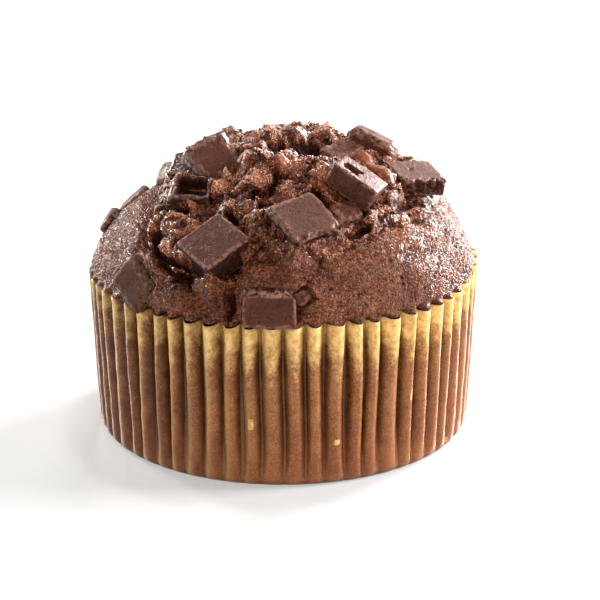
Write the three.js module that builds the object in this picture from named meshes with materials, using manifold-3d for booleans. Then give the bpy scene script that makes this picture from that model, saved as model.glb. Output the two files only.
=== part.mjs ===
// Chocolate chunk muffin in a pleated paper case.
//
// Millimetres, +Z up. The origin is on the axis of the case, at its flat base, and
// the front of the muffin faces -Y. Azimuths are degrees from the front towards +X.

import * as THREE from 'three';
import { mergeVertices } from 'three/addons/utils/BufferGeometryUtils.js';
import Module from 'manifold-3d';

// ---- Driving dimensions ----

const PLEATS = 60;
const RIM_RADIUS = 40; // to the outer ridges of the pleats
const RIM_HEIGHT = 33;
const PAPER_WALL = 0.45; // a stand-in several times the thickness of the sheet
const FIRST_VALLEY = 0.3; // azimuth of the valley nearest the front
const CLEARANCE = 0.3; // air between pieces that touch

// Outer ridge of the case from the base up: radius, height, depth of the pleats.
const CASE_WALL = [
  [37.2, 0, 0.1],
  [38.2, 0.9, 0.5],
  [38.6, 2.6, 0.9],
  [38.8, 6, 1.5],
  [39.4, 19, 2.2],
  [RIM_RADIUS, RIM_HEIGHT, 2.7],
];

const CRUST_RADIUS = 39.3; // the crust just above the rim of the case
const CRUST_FOOT = 34; // height of the crust's widest line
const DOME_RISE = 25; // from that line to the top
const DOME_FULLNESS = 1.22; // 1 is an ellipse, more is a pointed dome
const DOME_LEAN = 2; // how far the top leans to +X
const CALM_EDGE = 0.12; // share of the rise, from the foot up, where the relief fades in
const UNDERSIDE = 6; // depth of the ball below the crust's widest line, cut off later
const DOME_DETAIL = 17; // subdivisions of the dome's facets

const SEGMENTS_AROUND_BODY = 60;
const BODY_FOOT_CURVE = 1.4; // how far the cake's foot draws in above the case's floor
const BODY_OVERLAP = 1.5; // how far the body reaches up into the dome

// Where the risen middle meets the smooth outer crust: azimuth, distance from the axis.
const CRACK_LINE = [
  [-165, 27],
  [-140, 30],
  [-115, 28],
  [-88, 25.5],
  [-68, 27.5],
  [-50, 32.5],
  [-36, 35.5],
  [-22, 37],
  [-8, 33.5],
  [4, 34.5],
  [20, 33.2],
  [40, 31.2],
  [60, 30.5],
  [85, 31],
  [110, 28.5],
  [140, 30.5],
  [170, 26],
];
const CRACK_WIDTH = 1.5;
const CRACK_DEPTH = 1.4;
const MIDDLE_LIFT = 0.6; // how far the middle stands above the outer crust
const MIDDLE_EDGE = 3; // width over which the middle meets the outer crust

// Lumps of crumb, and the hollows between them: x, y, radius, height.
const LUMPS = [
  [4, -15.5, 4.6, 2.4],
  [-6, -10, 6, 1.9],
  [-9, 0, 6, 1.3],
  [-7, 13, 4, 1.2],
  [1, 8, 8, 0.7],
  [11, 3, 5, 1.1],
  [19, -8, 4, 1.1],
  [20, -18, 4.5, 1],
  [-1.5, -34.2, 4.2, 1.3],
  [-9, -35.5, 4, 0.7],
  [26, 1, 5, 1.2],
  [14, 18, 6, 0.7],
  [-4, 22, 7, 0.4],
  [-17, 13, 6, 1.2],
  [-29, 8, 6, -4.6],
  [-22.6, -13.4, 2, 1.5],
  [-15.6, -11, 2.2, -1.8],
  [-17, -19.6, 2, -1],
  [-5.2, -20.2, 1.5, -2.2],
  [-10.3, -13.3, 1.4, -2],
  [3.6, -7, 3.4, -2.2],
  [8, -5.6, 2.6, -1.6],
  [10.6, -24.2, 2.4, -2.4],
  [-4.6, -28.4, 2.4, -1.2],
  [-25.2, -21, 1.5, -1.6],
  [-22.8, -24, 3.4, 1.4],
  [-16, -32.4, 2.6, -0.5],
  [3.5, -34.2, 2.6, -0.4],
  [24.6, -16.8, 2.2, -2],
  [-9.2, -37.8, 1.6, -1.3],
  [6, 15, 2.6, -1.8],
  [-10, 16, 2.4, -1.6],
  [20, 8, 2.4, -1.5],
];

const MIDDLE_CRAGS = 1.5; // height of the crags on the risen middle
const CRAG_SPACING = 4;
const CRUST_WAVES = 0.35; // height of the soft waves on the outer crust
const WAVE_SPACING = 9;

const CHUNK_EDGE = 0.7; // bevel round a chunk
const CHUNK_CORNER = 0.9; // how far a corner of a chunk is rounded back along its sides

// Chocolate chunks. at: centre of the outer face. faces: azimuth and elevation that the
// outer face looks towards. turn: about that direction. size: along, across, thick.
const CHUNKS = [
  { name: 'chunk_front_left', at: [-13.2, -31.6, 48.2], faces: [-27, 57], turn: -30, size: [10.4, 10.4, 5.5] },
  { name: 'chunk_centre', at: [4.3, -30.4, 52.7], faces: [20, 62], turn: -73, size: [11, 11, 4.6] },
  { name: 'chunk_rim_front', at: [-2.4, -39.4, 37.2], faces: [-3, 14], turn: 0, size: [10.2, 7.6, 4.5] },
  { name: 'chunk_rim_left', at: [-29.4, -26.4, 37.8], faces: [-46, 20], turn: -28, size: [10.6, 8.0, 4] },
  { name: 'chunk_top_left', at: [-13.9, -4.4, 58.9], faces: [-2, 60], turn: 36, size: [10.6, 7.4, 5.6] },
  { name: 'chunk_hollow', at: [-18, -15.2, 54.6], faces: [-22, 60], turn: 8, size: [8.4, 7.4, 5] },
  { name: 'chunk_left_upper', at: [-20.6, -3.8, 55.9], faces: [-45, 50], turn: 20, size: [4.6, 5.4, 4] },
  { name: 'chunk_left_lower', at: [-24, 0.6, 52.8], faces: [-55, 45], turn: 20, size: [5, 5.6, 4.2] },
  { name: 'chunk_far_left', at: [-36.5, 1.6, 42.6], faces: [-92, 34], turn: 8, size: [6.4, 5, 3.5] },
  { name: 'chunk_left_shoulder', at: [-31.4, 7, 44.4], faces: [-96, 48], turn: 5, size: [6.4, 7, 4] },
  { name: 'chunk_top_right', at: [19.2, 0.4, 60.8], faces: [70, 68], turn: 90, size: [10.8, 6.8, 5.4] },
  { name: 'chunk_brick', at: [15.4, -18.6, 57.6], faces: [69, 60], turn: 90, size: [10.2, 7, 4.8] },
  { name: 'chunk_far_right', at: [26.7, -7.2, 55], faces: [46, 76], turn: -23, size: [9.8, 8.7, 3.6] },
  { name: 'chunk_buried', at: [12.8, -23.6, 51.6], faces: [20, 45], turn: 15, size: [6, 5, 3] },
  { name: 'chunk_top_smear', at: [12.2, -4.2, 58.9], faces: [30, 60], turn: 12, size: [9, 5, 2.6] },
  { name: 'chunk_rim_small', at: [4.1, -37.4, 38.7], faces: [8, 30], turn: 32, size: [3, 2.8, 2.2] },
  { name: 'chunk_back_left', at: [-17.5, 22.5, 51.4], faces: [-142, 48], turn: 24, size: [10.2, 9.8, 5] },
  { name: 'chunk_back_right', at: [21.4, 22, 51], faces: [134, 50], turn: -32, size: [10.4, 9.6, 5] },
  { name: 'chunk_back_top', at: [2.4, 22.6, 55], faces: [172, 54], turn: 12, size: [9.4, 8.2, 5] },
  { name: 'chunk_back_rim', at: [9.8, 36, 42.6], faces: [165, 28], turn: 38, size: [9.6, 9, 4] },
  { name: 'chunk_back_low', at: [-24.6, 27.4, 43.6], faces: [-140, 30], turn: -20, size: [8.6, 7.8, 4] },
  { name: 'chunk_right_low', at: [29.6, 22.4, 43.4], faces: [127, 33], turn: 28, size: [8.4, 7.4, 4] },
];

const HOLLOW = { chunk: 'chunk_hollow', along: 7, across: 6, deep: 3.4 };

const CRUMB = { color: 0x4a2415, roughness: 0.85, metalness: 0 };
const CHOCOLATE = { color: 0x4b302b, roughness: 0.45, metalness: 0 };
const PAPER = { color: 0xb08a55, roughness: 0.75, metalness: 0 };

// ---- Joining and cutting ----

const wasm = await Module();
wasm.setup();

function solidOf(geometry, matrix = new THREE.Matrix4()) {
  const bare = geometry.clone().applyMatrix4(matrix);
  bare.deleteAttribute('normal');
  bare.deleteAttribute('uv');
  const merged = mergeVertices(bare, 1e-4);
  return new wasm.Manifold(
    new wasm.Mesh({
      numProp: 3,
      vertProperties: new Float32Array(merged.attributes.position.array),
      triVerts: new Uint32Array(merged.index.array),
    }),
  );
}

function geometryOf(solid) {
  const mesh = solid.getMesh();
  const geometry = new THREE.BufferGeometry();
  geometry.setAttribute('position', new THREE.BufferAttribute(mesh.vertProperties, 3));
  geometry.setIndex(new THREE.BufferAttribute(mesh.triVerts, 1));
  geometry.computeVertexNormals();
  return geometry;
}

// A cut can leave loose scraps: the piece is its largest body.
function largestBody(solid) {
  const bodies = solid.decompose();
  bodies.sort((first, second) => second.volume() - first.volume());
  return bodies[0];
}

// ---- Small helpers ----

const radians = THREE.MathUtils.degToRad;

function smooth(from, to, value) {
  return THREE.MathUtils.smoothstep(value, from, to);
}

// Unit vector towards an azimuth and an elevation in degrees.
function direction(azimuth, elevation) {
  const level = Math.cos(radians(elevation));
  return new THREE.Vector3(
    Math.sin(radians(azimuth)) * level,
    -Math.cos(radians(azimuth)) * level,
    Math.sin(radians(elevation)),
  );
}

// A repeatable random number from 0 to 1 for a whole-number place.
function dice(column, row) {
  let bits = Math.imul(column, 374761393) + Math.imul(row, 668265263) + 1274126177;
  bits = Math.imul(bits ^ (bits >>> 13), 1103515245);
  bits ^= bits >>> 16;
  return (bits >>> 0) / 4294967295;
}

// Smooth random hills from -1 to 1, one spacing apart.
function hills(x, y, spacing) {
  const column = Math.floor(x / spacing);
  const row = Math.floor(y / spacing);
  const across = smooth(0, 1, x / spacing - column);
  const along = smooth(0, 1, y / spacing - row);
  const near = THREE.MathUtils.lerp(dice(column, row), dice(column + 1, row), across);
  const far = THREE.MathUtils.lerp(dice(column, row + 1), dice(column + 1, row + 1), across);
  return 2 * THREE.MathUtils.lerp(near, far, along) - 1;
}

// ---- The paper case ----

// 0 on a ridge, 1 in a valley, for an angle counted in pleats from a valley.
const PLEAT_STEPS = [
  { at: 0.14, valley: 1 },
  { at: 0.26, valley: 0 },
  { at: 0.74, valley: 0 },
  { at: 0.86, valley: 1 },
];

function caseGeometry() {
  const outside = CASE_WALL.map(([radius, height, depth]) => ({ radius, height, depth }));
  const inside = outside.map(({ radius, height, depth }) => ({
    radius: radius - PAPER_WALL,
    height: Math.max(height, PAPER_WALL),
    depth,
  }));
  inside[0].radius -= PAPER_WALL;
  inside[1].height += PAPER_WALL / 2;
  const rings = [{ radius: 0, height: 0, depth: 0 }, ...outside, ...inside.reverse()];
  rings.push({ radius: 0, height: PAPER_WALL, depth: 0 });

  const profile = rings.map(({ radius, height }) => new THREE.Vector2(radius, height));
  const geometry = new THREE.LatheGeometry(profile, PLEATS * PLEAT_STEPS.length);
  const position = geometry.attributes.position;
  for (let index = 0; index < position.count; index += 1) {
    const step = Math.floor(index / rings.length);
    const pleat = Math.floor(step / PLEAT_STEPS.length) % PLEATS;
    const { at, valley } = PLEAT_STEPS[step % PLEAT_STEPS.length];
    const ring = rings[index % rings.length];
    const azimuth = FIRST_VALLEY + ((pleat + at) * 360) / PLEATS;
    const radius = ring.radius - ring.depth * valley;
    const place = direction(azimuth, 0).multiplyScalar(radius);
    position.setXYZ(index, place.x, place.y, ring.height);
  }
  return geometryOf(solidOf(geometry));
}

// ---- The cake ----

// Distance from the axis to the crack at an azimuth, along the closed crack line.
function crackRadius(azimuth) {
  let after = CRACK_LINE.findIndex(([at]) => at > azimuth);
  const lapsed = after <= 0;
  after = lapsed ? 0 : after;
  const before = (after + CRACK_LINE.length - 1) % CRACK_LINE.length;
  const [start, near] = CRACK_LINE[before];
  const [end, far] = CRACK_LINE[after];
  const span = (end - start + 360) % 360;
  const gone = (azimuth - start + 360) % 360;
  return THREE.MathUtils.lerp(near, far, smooth(0, 1, gone / span));
}

// Height of the crust's relief, out from the smooth dome, at a place seen from above.
function relief(x, y) {
  const azimuth = THREE.MathUtils.radToDeg(Math.atan2(x, -y));
  const outward = Math.hypot(x, y) - crackRadius(azimuth);
  const middle = 1 - smooth(-MIDDLE_EDGE, 0, outward);
  let height = middle * (MIDDLE_LIFT + MIDDLE_CRAGS * hills(x, y, CRAG_SPACING));
  height += (1 - middle) * CRUST_WAVES * hills(x, y, WAVE_SPACING);
  height -= CRACK_DEPTH * Math.exp(-((outward / CRACK_WIDTH) ** 2));
  for (const [atX, atY, radius, rise] of LUMPS) {
    const away = ((x - atX) ** 2 + (y - atY) ** 2) / radius ** 2;
    height += rise * Math.exp(-away);
  }
  return height;
}

// The dome as a closed body: an evenly faceted ball drawn out into the crust's form.
function domeGeometry() {
  const geometry = new THREE.IcosahedronGeometry(1, DOME_DETAIL);
  const position = geometry.attributes.position;
  const point = new THREE.Vector3();
  const normal = new THREE.Vector3();
  for (let index = 0; index < position.count; index += 1) {
    point.fromBufferAttribute(position, index);
    const up = Math.max(point.z, 0);
    const rise = up ** DOME_FULLNESS;
    normal.set(point.x, point.y, up * (CRUST_RADIUS / DOME_RISE)).normalize();
    const x = point.x * CRUST_RADIUS;
    const y = point.y * CRUST_RADIUS;
    const bump = relief(x, y) * smooth(0, CALM_EDGE, up);
    position.setXYZ(
      index,
      x + DOME_LEAN * rise + normal.x * bump,
      y + normal.y * bump,
      CRUST_FOOT + Math.min(point.z, 0) * UNDERSIDE + DOME_RISE * rise + normal.z * bump,
    );
  }
  return geometry;
}

// The part of the cake inside the case, clear of the pleats' inner folds.
function bodyGeometry() {
  const inset = PAPER_WALL + CLEARANCE;
  const [[footRadius, footHeight, footDepth]] = CASE_WALL.slice(3);
  const foot = new THREE.Vector2(footRadius - footDepth - inset, footHeight);
  const [[rimRadius, , rimDepth]] = CASE_WALL.slice(-1);
  const top = new THREE.Vector2(rimRadius - rimDepth - inset, CRUST_FOOT + BODY_OVERLAP);
  const base = new THREE.Vector2(foot.x - BODY_FOOT_CURVE, inset);
  const profile = [new THREE.Vector2(0, inset), base, foot, top, new THREE.Vector2(0, top.y)];
  return new THREE.LatheGeometry(profile, SEGMENTS_AROUND_BODY).rotateX(Math.PI / 2);
}

// Everything above a height, as a block wide enough to keep all of the dome.
function above(height) {
  const side = 4 * CRUST_RADIUS;
  return new THREE.BoxGeometry(side, side, side).translate(0, 0, height + side / 2);
}

// ---- Chocolate chunks ----

// A moulded square with rounded corners and bevelled edges, its outer face at z = 0.
function chunkGeometry([along, across, thick]) {
  const corner = CHUNK_CORNER;
  const halfX = along / 2;
  const halfY = across / 2;
  const outline = new THREE.Shape();
  outline.moveTo(-halfX + corner, -halfY);
  outline.lineTo(halfX - corner, -halfY);
  outline.quadraticCurveTo(halfX, -halfY, halfX, -halfY + corner);
  outline.lineTo(halfX, halfY - corner);
  outline.quadraticCurveTo(halfX, halfY, halfX - corner, halfY);
  outline.lineTo(-halfX + corner, halfY);
  outline.quadraticCurveTo(-halfX, halfY, -halfX, halfY - corner);
  outline.lineTo(-halfX, -halfY + corner);
  outline.quadraticCurveTo(-halfX, -halfY, -halfX + corner, -halfY);
  const geometry = new THREE.ExtrudeGeometry(outline, {
    depth: thick - 2 * CHUNK_EDGE,
    bevelSize: CHUNK_EDGE,
    bevelThickness: CHUNK_EDGE,
    bevelOffset: -CHUNK_EDGE,
    bevelSegments: 1,
    curveSegments: 2,
  });
  return geometry.translate(0, 0, CHUNK_EDGE - thick);
}

// The room a chunk takes in the crumb or in its neighbour, with air all round it.
function pocketGeometry([along, across, thick]) {
  const room = 2 * CLEARANCE;
  const block = new THREE.BoxGeometry(along + room, across + room, thick + room);
  return block.translate(0, 0, -thick / 2);
}

function placementOf({ at, faces, turn }) {
  const out = direction(...faces);
  const level = new THREE.Vector3(0, 0, 1).cross(out).normalize();
  const upward = new THREE.Vector3().crossVectors(out, level);
  const placement = new THREE.Matrix4().makeBasis(level, upward, out);
  placement.multiply(new THREE.Matrix4().makeRotationZ(radians(turn)));
  return placement.setPosition(...at);
}

function hollowGeometry() {
  const { along, across, deep } = HOLLOW;
  return new THREE.BoxGeometry(along, across, 2 * deep);
}

// ---- Assembly ----

const group = new THREE.Group();

function addPiece(name, geometry, look, placement) {
  const piece = new THREE.Mesh(geometry, new THREE.MeshStandardMaterial(look));
  piece.name = name;
  if (placement) {
    piece.applyMatrix4(placement);
  }
  group.add(piece);
}

addPiece('paper_case', caseGeometry(), PAPER);

const aboveRim = solidOf(above(RIM_HEIGHT + CLEARANCE));
let cake = solidOf(domeGeometry()).intersect(aboveRim);
cake = cake.add(solidOf(bodyGeometry()));

const pockets = [];
for (const chunk of CHUNKS) {
  const placement = placementOf(chunk);
  let piece = solidOf(chunkGeometry(chunk.size), placement).intersect(aboveRim);
  if (chunk.name === HOLLOW.chunk) {
    piece = piece.subtract(solidOf(hollowGeometry(), placement));
  }
  for (const pocket of pockets) {
    piece = piece.subtract(pocket);
  }
  const pocket = solidOf(pocketGeometry(chunk.size), placement);
  cake = cake.subtract(pocket);
  pockets.push(pocket);
  const home = placement.clone().invert();
  addPiece(chunk.name, geometryOf(largestBody(piece)).applyMatrix4(home), CHOCOLATE, placement);
}

addPiece('cake', geometryOf(largestBody(cake)), CRUMB);

export default group;
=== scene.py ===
"""Chocolate chunk muffin in a pleated paper case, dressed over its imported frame.

Shapes are worked out in millimetres in the frame of the part, with +Z up and the front
of the muffin towards -Y, and are written to the meshes in metres. Azimuths are degrees
from the front towards +X.
"""

import itertools
import logging
import math
from dataclasses import dataclass, field
from enum import Enum

import bmesh
import bpy
import numpy as np
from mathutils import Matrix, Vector


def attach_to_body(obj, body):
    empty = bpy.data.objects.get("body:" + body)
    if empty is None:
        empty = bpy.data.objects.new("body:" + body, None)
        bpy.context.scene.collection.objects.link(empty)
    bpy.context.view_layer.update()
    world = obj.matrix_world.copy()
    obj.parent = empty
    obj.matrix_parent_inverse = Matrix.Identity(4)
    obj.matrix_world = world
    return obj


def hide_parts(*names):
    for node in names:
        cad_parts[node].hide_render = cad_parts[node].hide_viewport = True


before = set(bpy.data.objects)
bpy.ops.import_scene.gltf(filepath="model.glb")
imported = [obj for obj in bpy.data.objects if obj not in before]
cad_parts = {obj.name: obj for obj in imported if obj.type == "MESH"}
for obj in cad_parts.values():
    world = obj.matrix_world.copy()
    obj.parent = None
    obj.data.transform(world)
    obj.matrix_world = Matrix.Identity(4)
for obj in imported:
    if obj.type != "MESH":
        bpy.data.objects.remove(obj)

LOG = logging.getLogger("muffin")
MM = 0.001
BODY = "root"

Array = np.ndarray
Place = tuple[float, float]
Point = tuple[float, float, float]
Colour = tuple[float, float, float, float]
Piece = bpy.types.Object
Material = bpy.types.Material
Socket = bpy.types.NodeSocket
Feed = Socket | float | Colour


def smooth(low: float, high: float, value: Array) -> Array:
    """Rises softly from 0 at low to 1 at high."""
    share = np.clip((value - low) / (high - low), 0, 1)
    return share * share * (3 - 2 * share)


def blend(first: Array, second: Array, share: Array) -> Array:
    """Goes from first to second as the share goes from 0 to 1."""
    return first * (1 - share) + second * share


def unit(vectors: Array) -> Array:
    """Vectors brought to a length of 1."""
    return vectors / np.maximum(np.linalg.norm(vectors, axis=-1, keepdims=True), 1e-9)


def azimuth_of(x: Array, y: Array) -> Array:
    """Azimuth in degrees of places seen from above."""
    return np.degrees(np.arctan2(x, -y))


def towards(azimuth: float, elevation: float) -> Array:
    """Finds the unit vector towards a direction.

    Args:
        azimuth: degrees from the front.
        elevation: degrees above level.

    Returns:
        The vector in the frame of the part.
    """
    turn = math.radians(azimuth)
    lift = math.radians(elevation)
    level = math.cos(lift)
    return np.array([math.sin(turn) * level, -math.cos(turn) * level, math.sin(lift)])


def tone(red: int, green: int, blue: int) -> Colour:
    """Turns a screen colour into the linear colour that shaders use.

    Args:
        red: from 0 to 255.
        green: the same.
        blue: the same.

    Returns:
        Linear red, green and blue, and an alpha of 1.
    """
    linear = [
        part / 12.92 if part <= 0.04045 else ((part + 0.055) / 1.055) ** 2.4
        for part in (red / 255, green / 255, blue / 255)
    ]
    return (*linear, 1.0)


def around(reach: Array, turn: Array, height: Array) -> Array:
    """Points at a reach from the axis, a turn in radians and a height."""
    return np.stack([reach * np.sin(turn), -reach * np.cos(turn), height], -1)


class Grain:
    """Repeatable random fields over points in millimetres; a salt picks another of its kind."""

    MASK = 0xFFFFFFFF
    START = 1274126177
    STRIDES = (374761393, 668265263, 2246822519)
    SALT_STRIDE = 3266489917
    STIR = 1103515245

    @classmethod
    def dice(cls, cells: Array, salt: int = 0) -> Array:
        """Random numbers from 0 to 1 for whole-number cells.

        Args:
            cells: whole numbers, two or three to a cell.
            salt: picks another set of numbers.

        Returns:
            One number for each cell.
        """
        bits = cells[..., 0] * cls.STRIDES[0] + cells[..., 1] * cls.STRIDES[1] + cls.START
        if cells.shape[-1] == 3:
            bits = bits + cells[..., 2] * cls.STRIDES[2]
        bits = (bits + salt * cls.SALT_STRIDE) & cls.MASK
        bits = bits ^ (bits >> 13)
        bits = (bits * cls.STIR) & cls.MASK
        bits = bits ^ (bits >> 16)
        return bits / cls.MASK

    @classmethod
    def hills(cls, x: Array, y: Array, spacing: float) -> Array:
        """Smooth random hills over a plan.

        Args:
            x: places seen from above.
            y: the same.
            spacing: distance between hills.

        Returns:
            Heights from -1 to 1.
        """
        column = np.floor(x / spacing).astype(np.int64)
        row = np.floor(y / spacing).astype(np.int64)
        across = smooth(0, 1, x / spacing - column)
        along = smooth(0, 1, y / spacing - row)

        def corner(right: int, up: int) -> Array:
            """Random numbers at one corner of each cell."""
            return cls.dice(np.stack([column + right, row + up], -1))

        near = blend(corner(0, 0), corner(1, 0), across)
        far = blend(corner(0, 1), corner(1, 1), across)
        return 2 * blend(near, far, along) - 1

    @classmethod
    def swells(cls, points: Array, spacing: float, salt: int = 1) -> Array:
        """Smooth random swells in space.

        Args:
            points: places in millimetres.
            spacing: distance between swells.
            salt: picks another set of swells.

        Returns:
            Heights of about -1 to 1.
        """
        place = points / spacing
        cell = np.floor(place).astype(np.int64)
        offset = place - cell
        fade = offset**3 * (offset * (offset * 6 - 15) + 10)
        total = np.zeros(len(points))
        for corner in itertools.product((0, 1), repeat=3):
            step = np.array(corner)
            turn = cls.dice(cell + step, salt) * 2 * math.pi
            lift = cls.dice(cell + step, salt + 57) * 2 - 1
            level = np.sqrt(1 - lift**2)
            slope = np.stack([level * np.cos(turn), level * np.sin(turn), lift], -1)
            weight = np.prod(np.where(step == 1, fade, 1 - fade), axis=-1)
            total += weight * np.sum(slope * (offset - step), axis=-1)
        return total * 1.6

    @classmethod
    def layered(cls, points: Array, spacing: float, layers: int, salt: int = 1) -> Array:
        """Swells with finer and lower swells on them.

        Args:
            points: places in millimetres.
            spacing: distance between the largest swells.
            layers: how many sizes there are, each half of the last.
            salt: picks another set of swells.

        Returns:
            Heights of about -1 to 1.
        """
        return sum(
            cls.swells(points, spacing / 2**layer, salt + 7 * layer) * 0.5**layer
            for layer in range(layers)
        )

    @classmethod
    def drift(cls, points: Array, spacing: float, salt: int) -> Array:
        """Random steps along all three axes, each of them swells."""
        return np.stack([cls.swells(points, spacing, salt + axis) for axis in range(3)], -1)

    @classmethod
    def nests(cls, points: Array, spacing: float, salt: int = 1) -> tuple[Array, Array]:
        """Scattered centres in space.

        Args:
            points: places in millimetres.
            spacing: distance between centres.
            salt: picks another set of centres.

        Returns:
            Distance to the nearest centre in spacings, and that centre's own number.
        """
        place = points / spacing
        base = np.floor(place - 0.5).astype(np.int64)
        nearest = np.full(len(points), 9.0)
        mark = np.zeros(len(points))
        for corner in itertools.product((0, 1), repeat=3):
            cell = base + np.array(corner)
            jitter = np.stack([cls.dice(cell, salt + 11 * axis) for axis in range(3)], -1)
            centre = cell + 0.5 + (jitter - 0.5) * 0.7
            away = np.linalg.norm(place - centre, axis=-1)
            closer = away < nearest
            nearest = np.where(closer, away, nearest)
            mark = np.where(closer, cls.dice(cell, salt + 91), mark)
        return nearest, mark


# ---- Mesh tools ----


def points_of(mesh: bpy.types.Mesh) -> Array:
    """Reads a mesh's vertices.

    Args:
        mesh: the mesh.

    Returns:
        One point for each vertex, in millimetres.
    """
    flat = np.zeros(len(mesh.vertices) * 3, np.float32)
    mesh.vertices.foreach_get("co", flat)
    return flat.reshape(-1, 3).astype(float) / MM


def place_points(mesh: bpy.types.Mesh, points: Array) -> None:
    """Writes millimetre points to a mesh's vertices."""
    mesh.vertices.foreach_set("co", (points * MM).astype(np.float32).ravel())
    mesh.update()


def add_values(mesh: bpy.types.Mesh, name: str, values: Array) -> None:
    """Keeps one number for each vertex, for the materials to read."""
    attribute = mesh.attributes.new(name, "FLOAT", "POINT")
    attribute.data.foreach_set("value", values.astype(np.float32))


def values_of(mesh: bpy.types.Mesh, name: str) -> Array:
    """Reads the numbers kept on a mesh's vertices.

    Args:
        mesh: the mesh.
        name: what they are called.

    Returns:
        One number for each vertex.
    """
    values = np.zeros(len(mesh.vertices), np.float32)
    mesh.attributes[name].data.foreach_get("value", values)
    return values


def shade_hollows(mesh: bpy.types.Mesh, low: Array, shade_lining: Material) -> None:
    """Gives the faces that start at low vertices a second, darker material: painted shade in the
    hollows.

    Args:
        mesh: the mesh.
        low: whether each vertex lies in a hollow.
        shade_lining: the hollows' material, a darker and duller crumb painted in as shade.
    """
    corners = np.zeros(len(mesh.loops), np.int32)
    mesh.loops.foreach_get("vertex_index", corners)
    first = np.zeros(len(mesh.polygons), np.int32)
    mesh.polygons.foreach_get("loop_start", first)
    mesh.materials.append(shade_lining)
    mesh.polygons.foreach_set("material_index", low[corners[first]].astype(np.int32))


def finish_net(net: bmesh.types.BMesh, name: str) -> Piece:
    """Turns a built net into a smooth-shaded object with its faces outwards.

    Args:
        net: the built net, which is used up.
        name: the object's name.

    Returns:
        The object, in the scene.
    """
    bmesh.ops.recalc_face_normals(net, faces=net.faces)
    mesh = bpy.data.meshes.new(name)
    net.to_mesh(mesh)
    net.free()
    mesh.shade_smooth()
    piece = bpy.data.objects.new(name, mesh)
    bpy.context.scene.collection.objects.link(piece)
    return piece


@dataclass
class RoundNet:
    """A closed net of rings round the axis, from a lower pole to an upper one."""

    name: str
    rings: int
    steps: int
    piece: Piece = field(init=False)
    ring: Array = field(init=False)
    step: Array = field(init=False)

    def __post_init__(self) -> None:
        """Rolls a flat grid round the axis, and notes each vertex's ring and step."""
        net = bmesh.new()
        bmesh.ops.create_grid(net, x_segments=self.steps, y_segments=self.rings - 1, size=0.5)
        for vertex in net.verts:
            turn = (vertex.co.x + 0.5) * 2 * math.pi
            level = round((vertex.co.y + 0.5) * (self.rings - 1))
            reach = 0 if level in (0, self.rings - 1) else 1
            vertex.co = (reach * math.cos(turn), reach * math.sin(turn), level)
        bmesh.ops.remove_doubles(net, verts=net.verts, dist=1e-4)
        self.piece = finish_net(net, self.name)
        points = points_of(self.piece.data) * MM
        self.ring = np.rint(points[:, 2]).astype(int)
        turn = np.arctan2(points[:, 1], points[:, 0]) / (2 * math.pi) * self.steps
        self.step = np.rint(turn).astype(int) % self.steps


def attach(piece: Piece, slot: str, *nodes: str) -> None:
    """Makes a piece ride with the muffin and stand for its nodes.

    Args:
        piece: the finished piece.
        slot: not used.
        *nodes: the nodes of the frame that it is shown in place of.
    """
    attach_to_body(piece, BODY)
    if nodes:
        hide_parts(*nodes)
    LOG.info("%s: %d vertices", piece.name, len(piece.data.vertices))


# ---- Finishes ----


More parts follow.
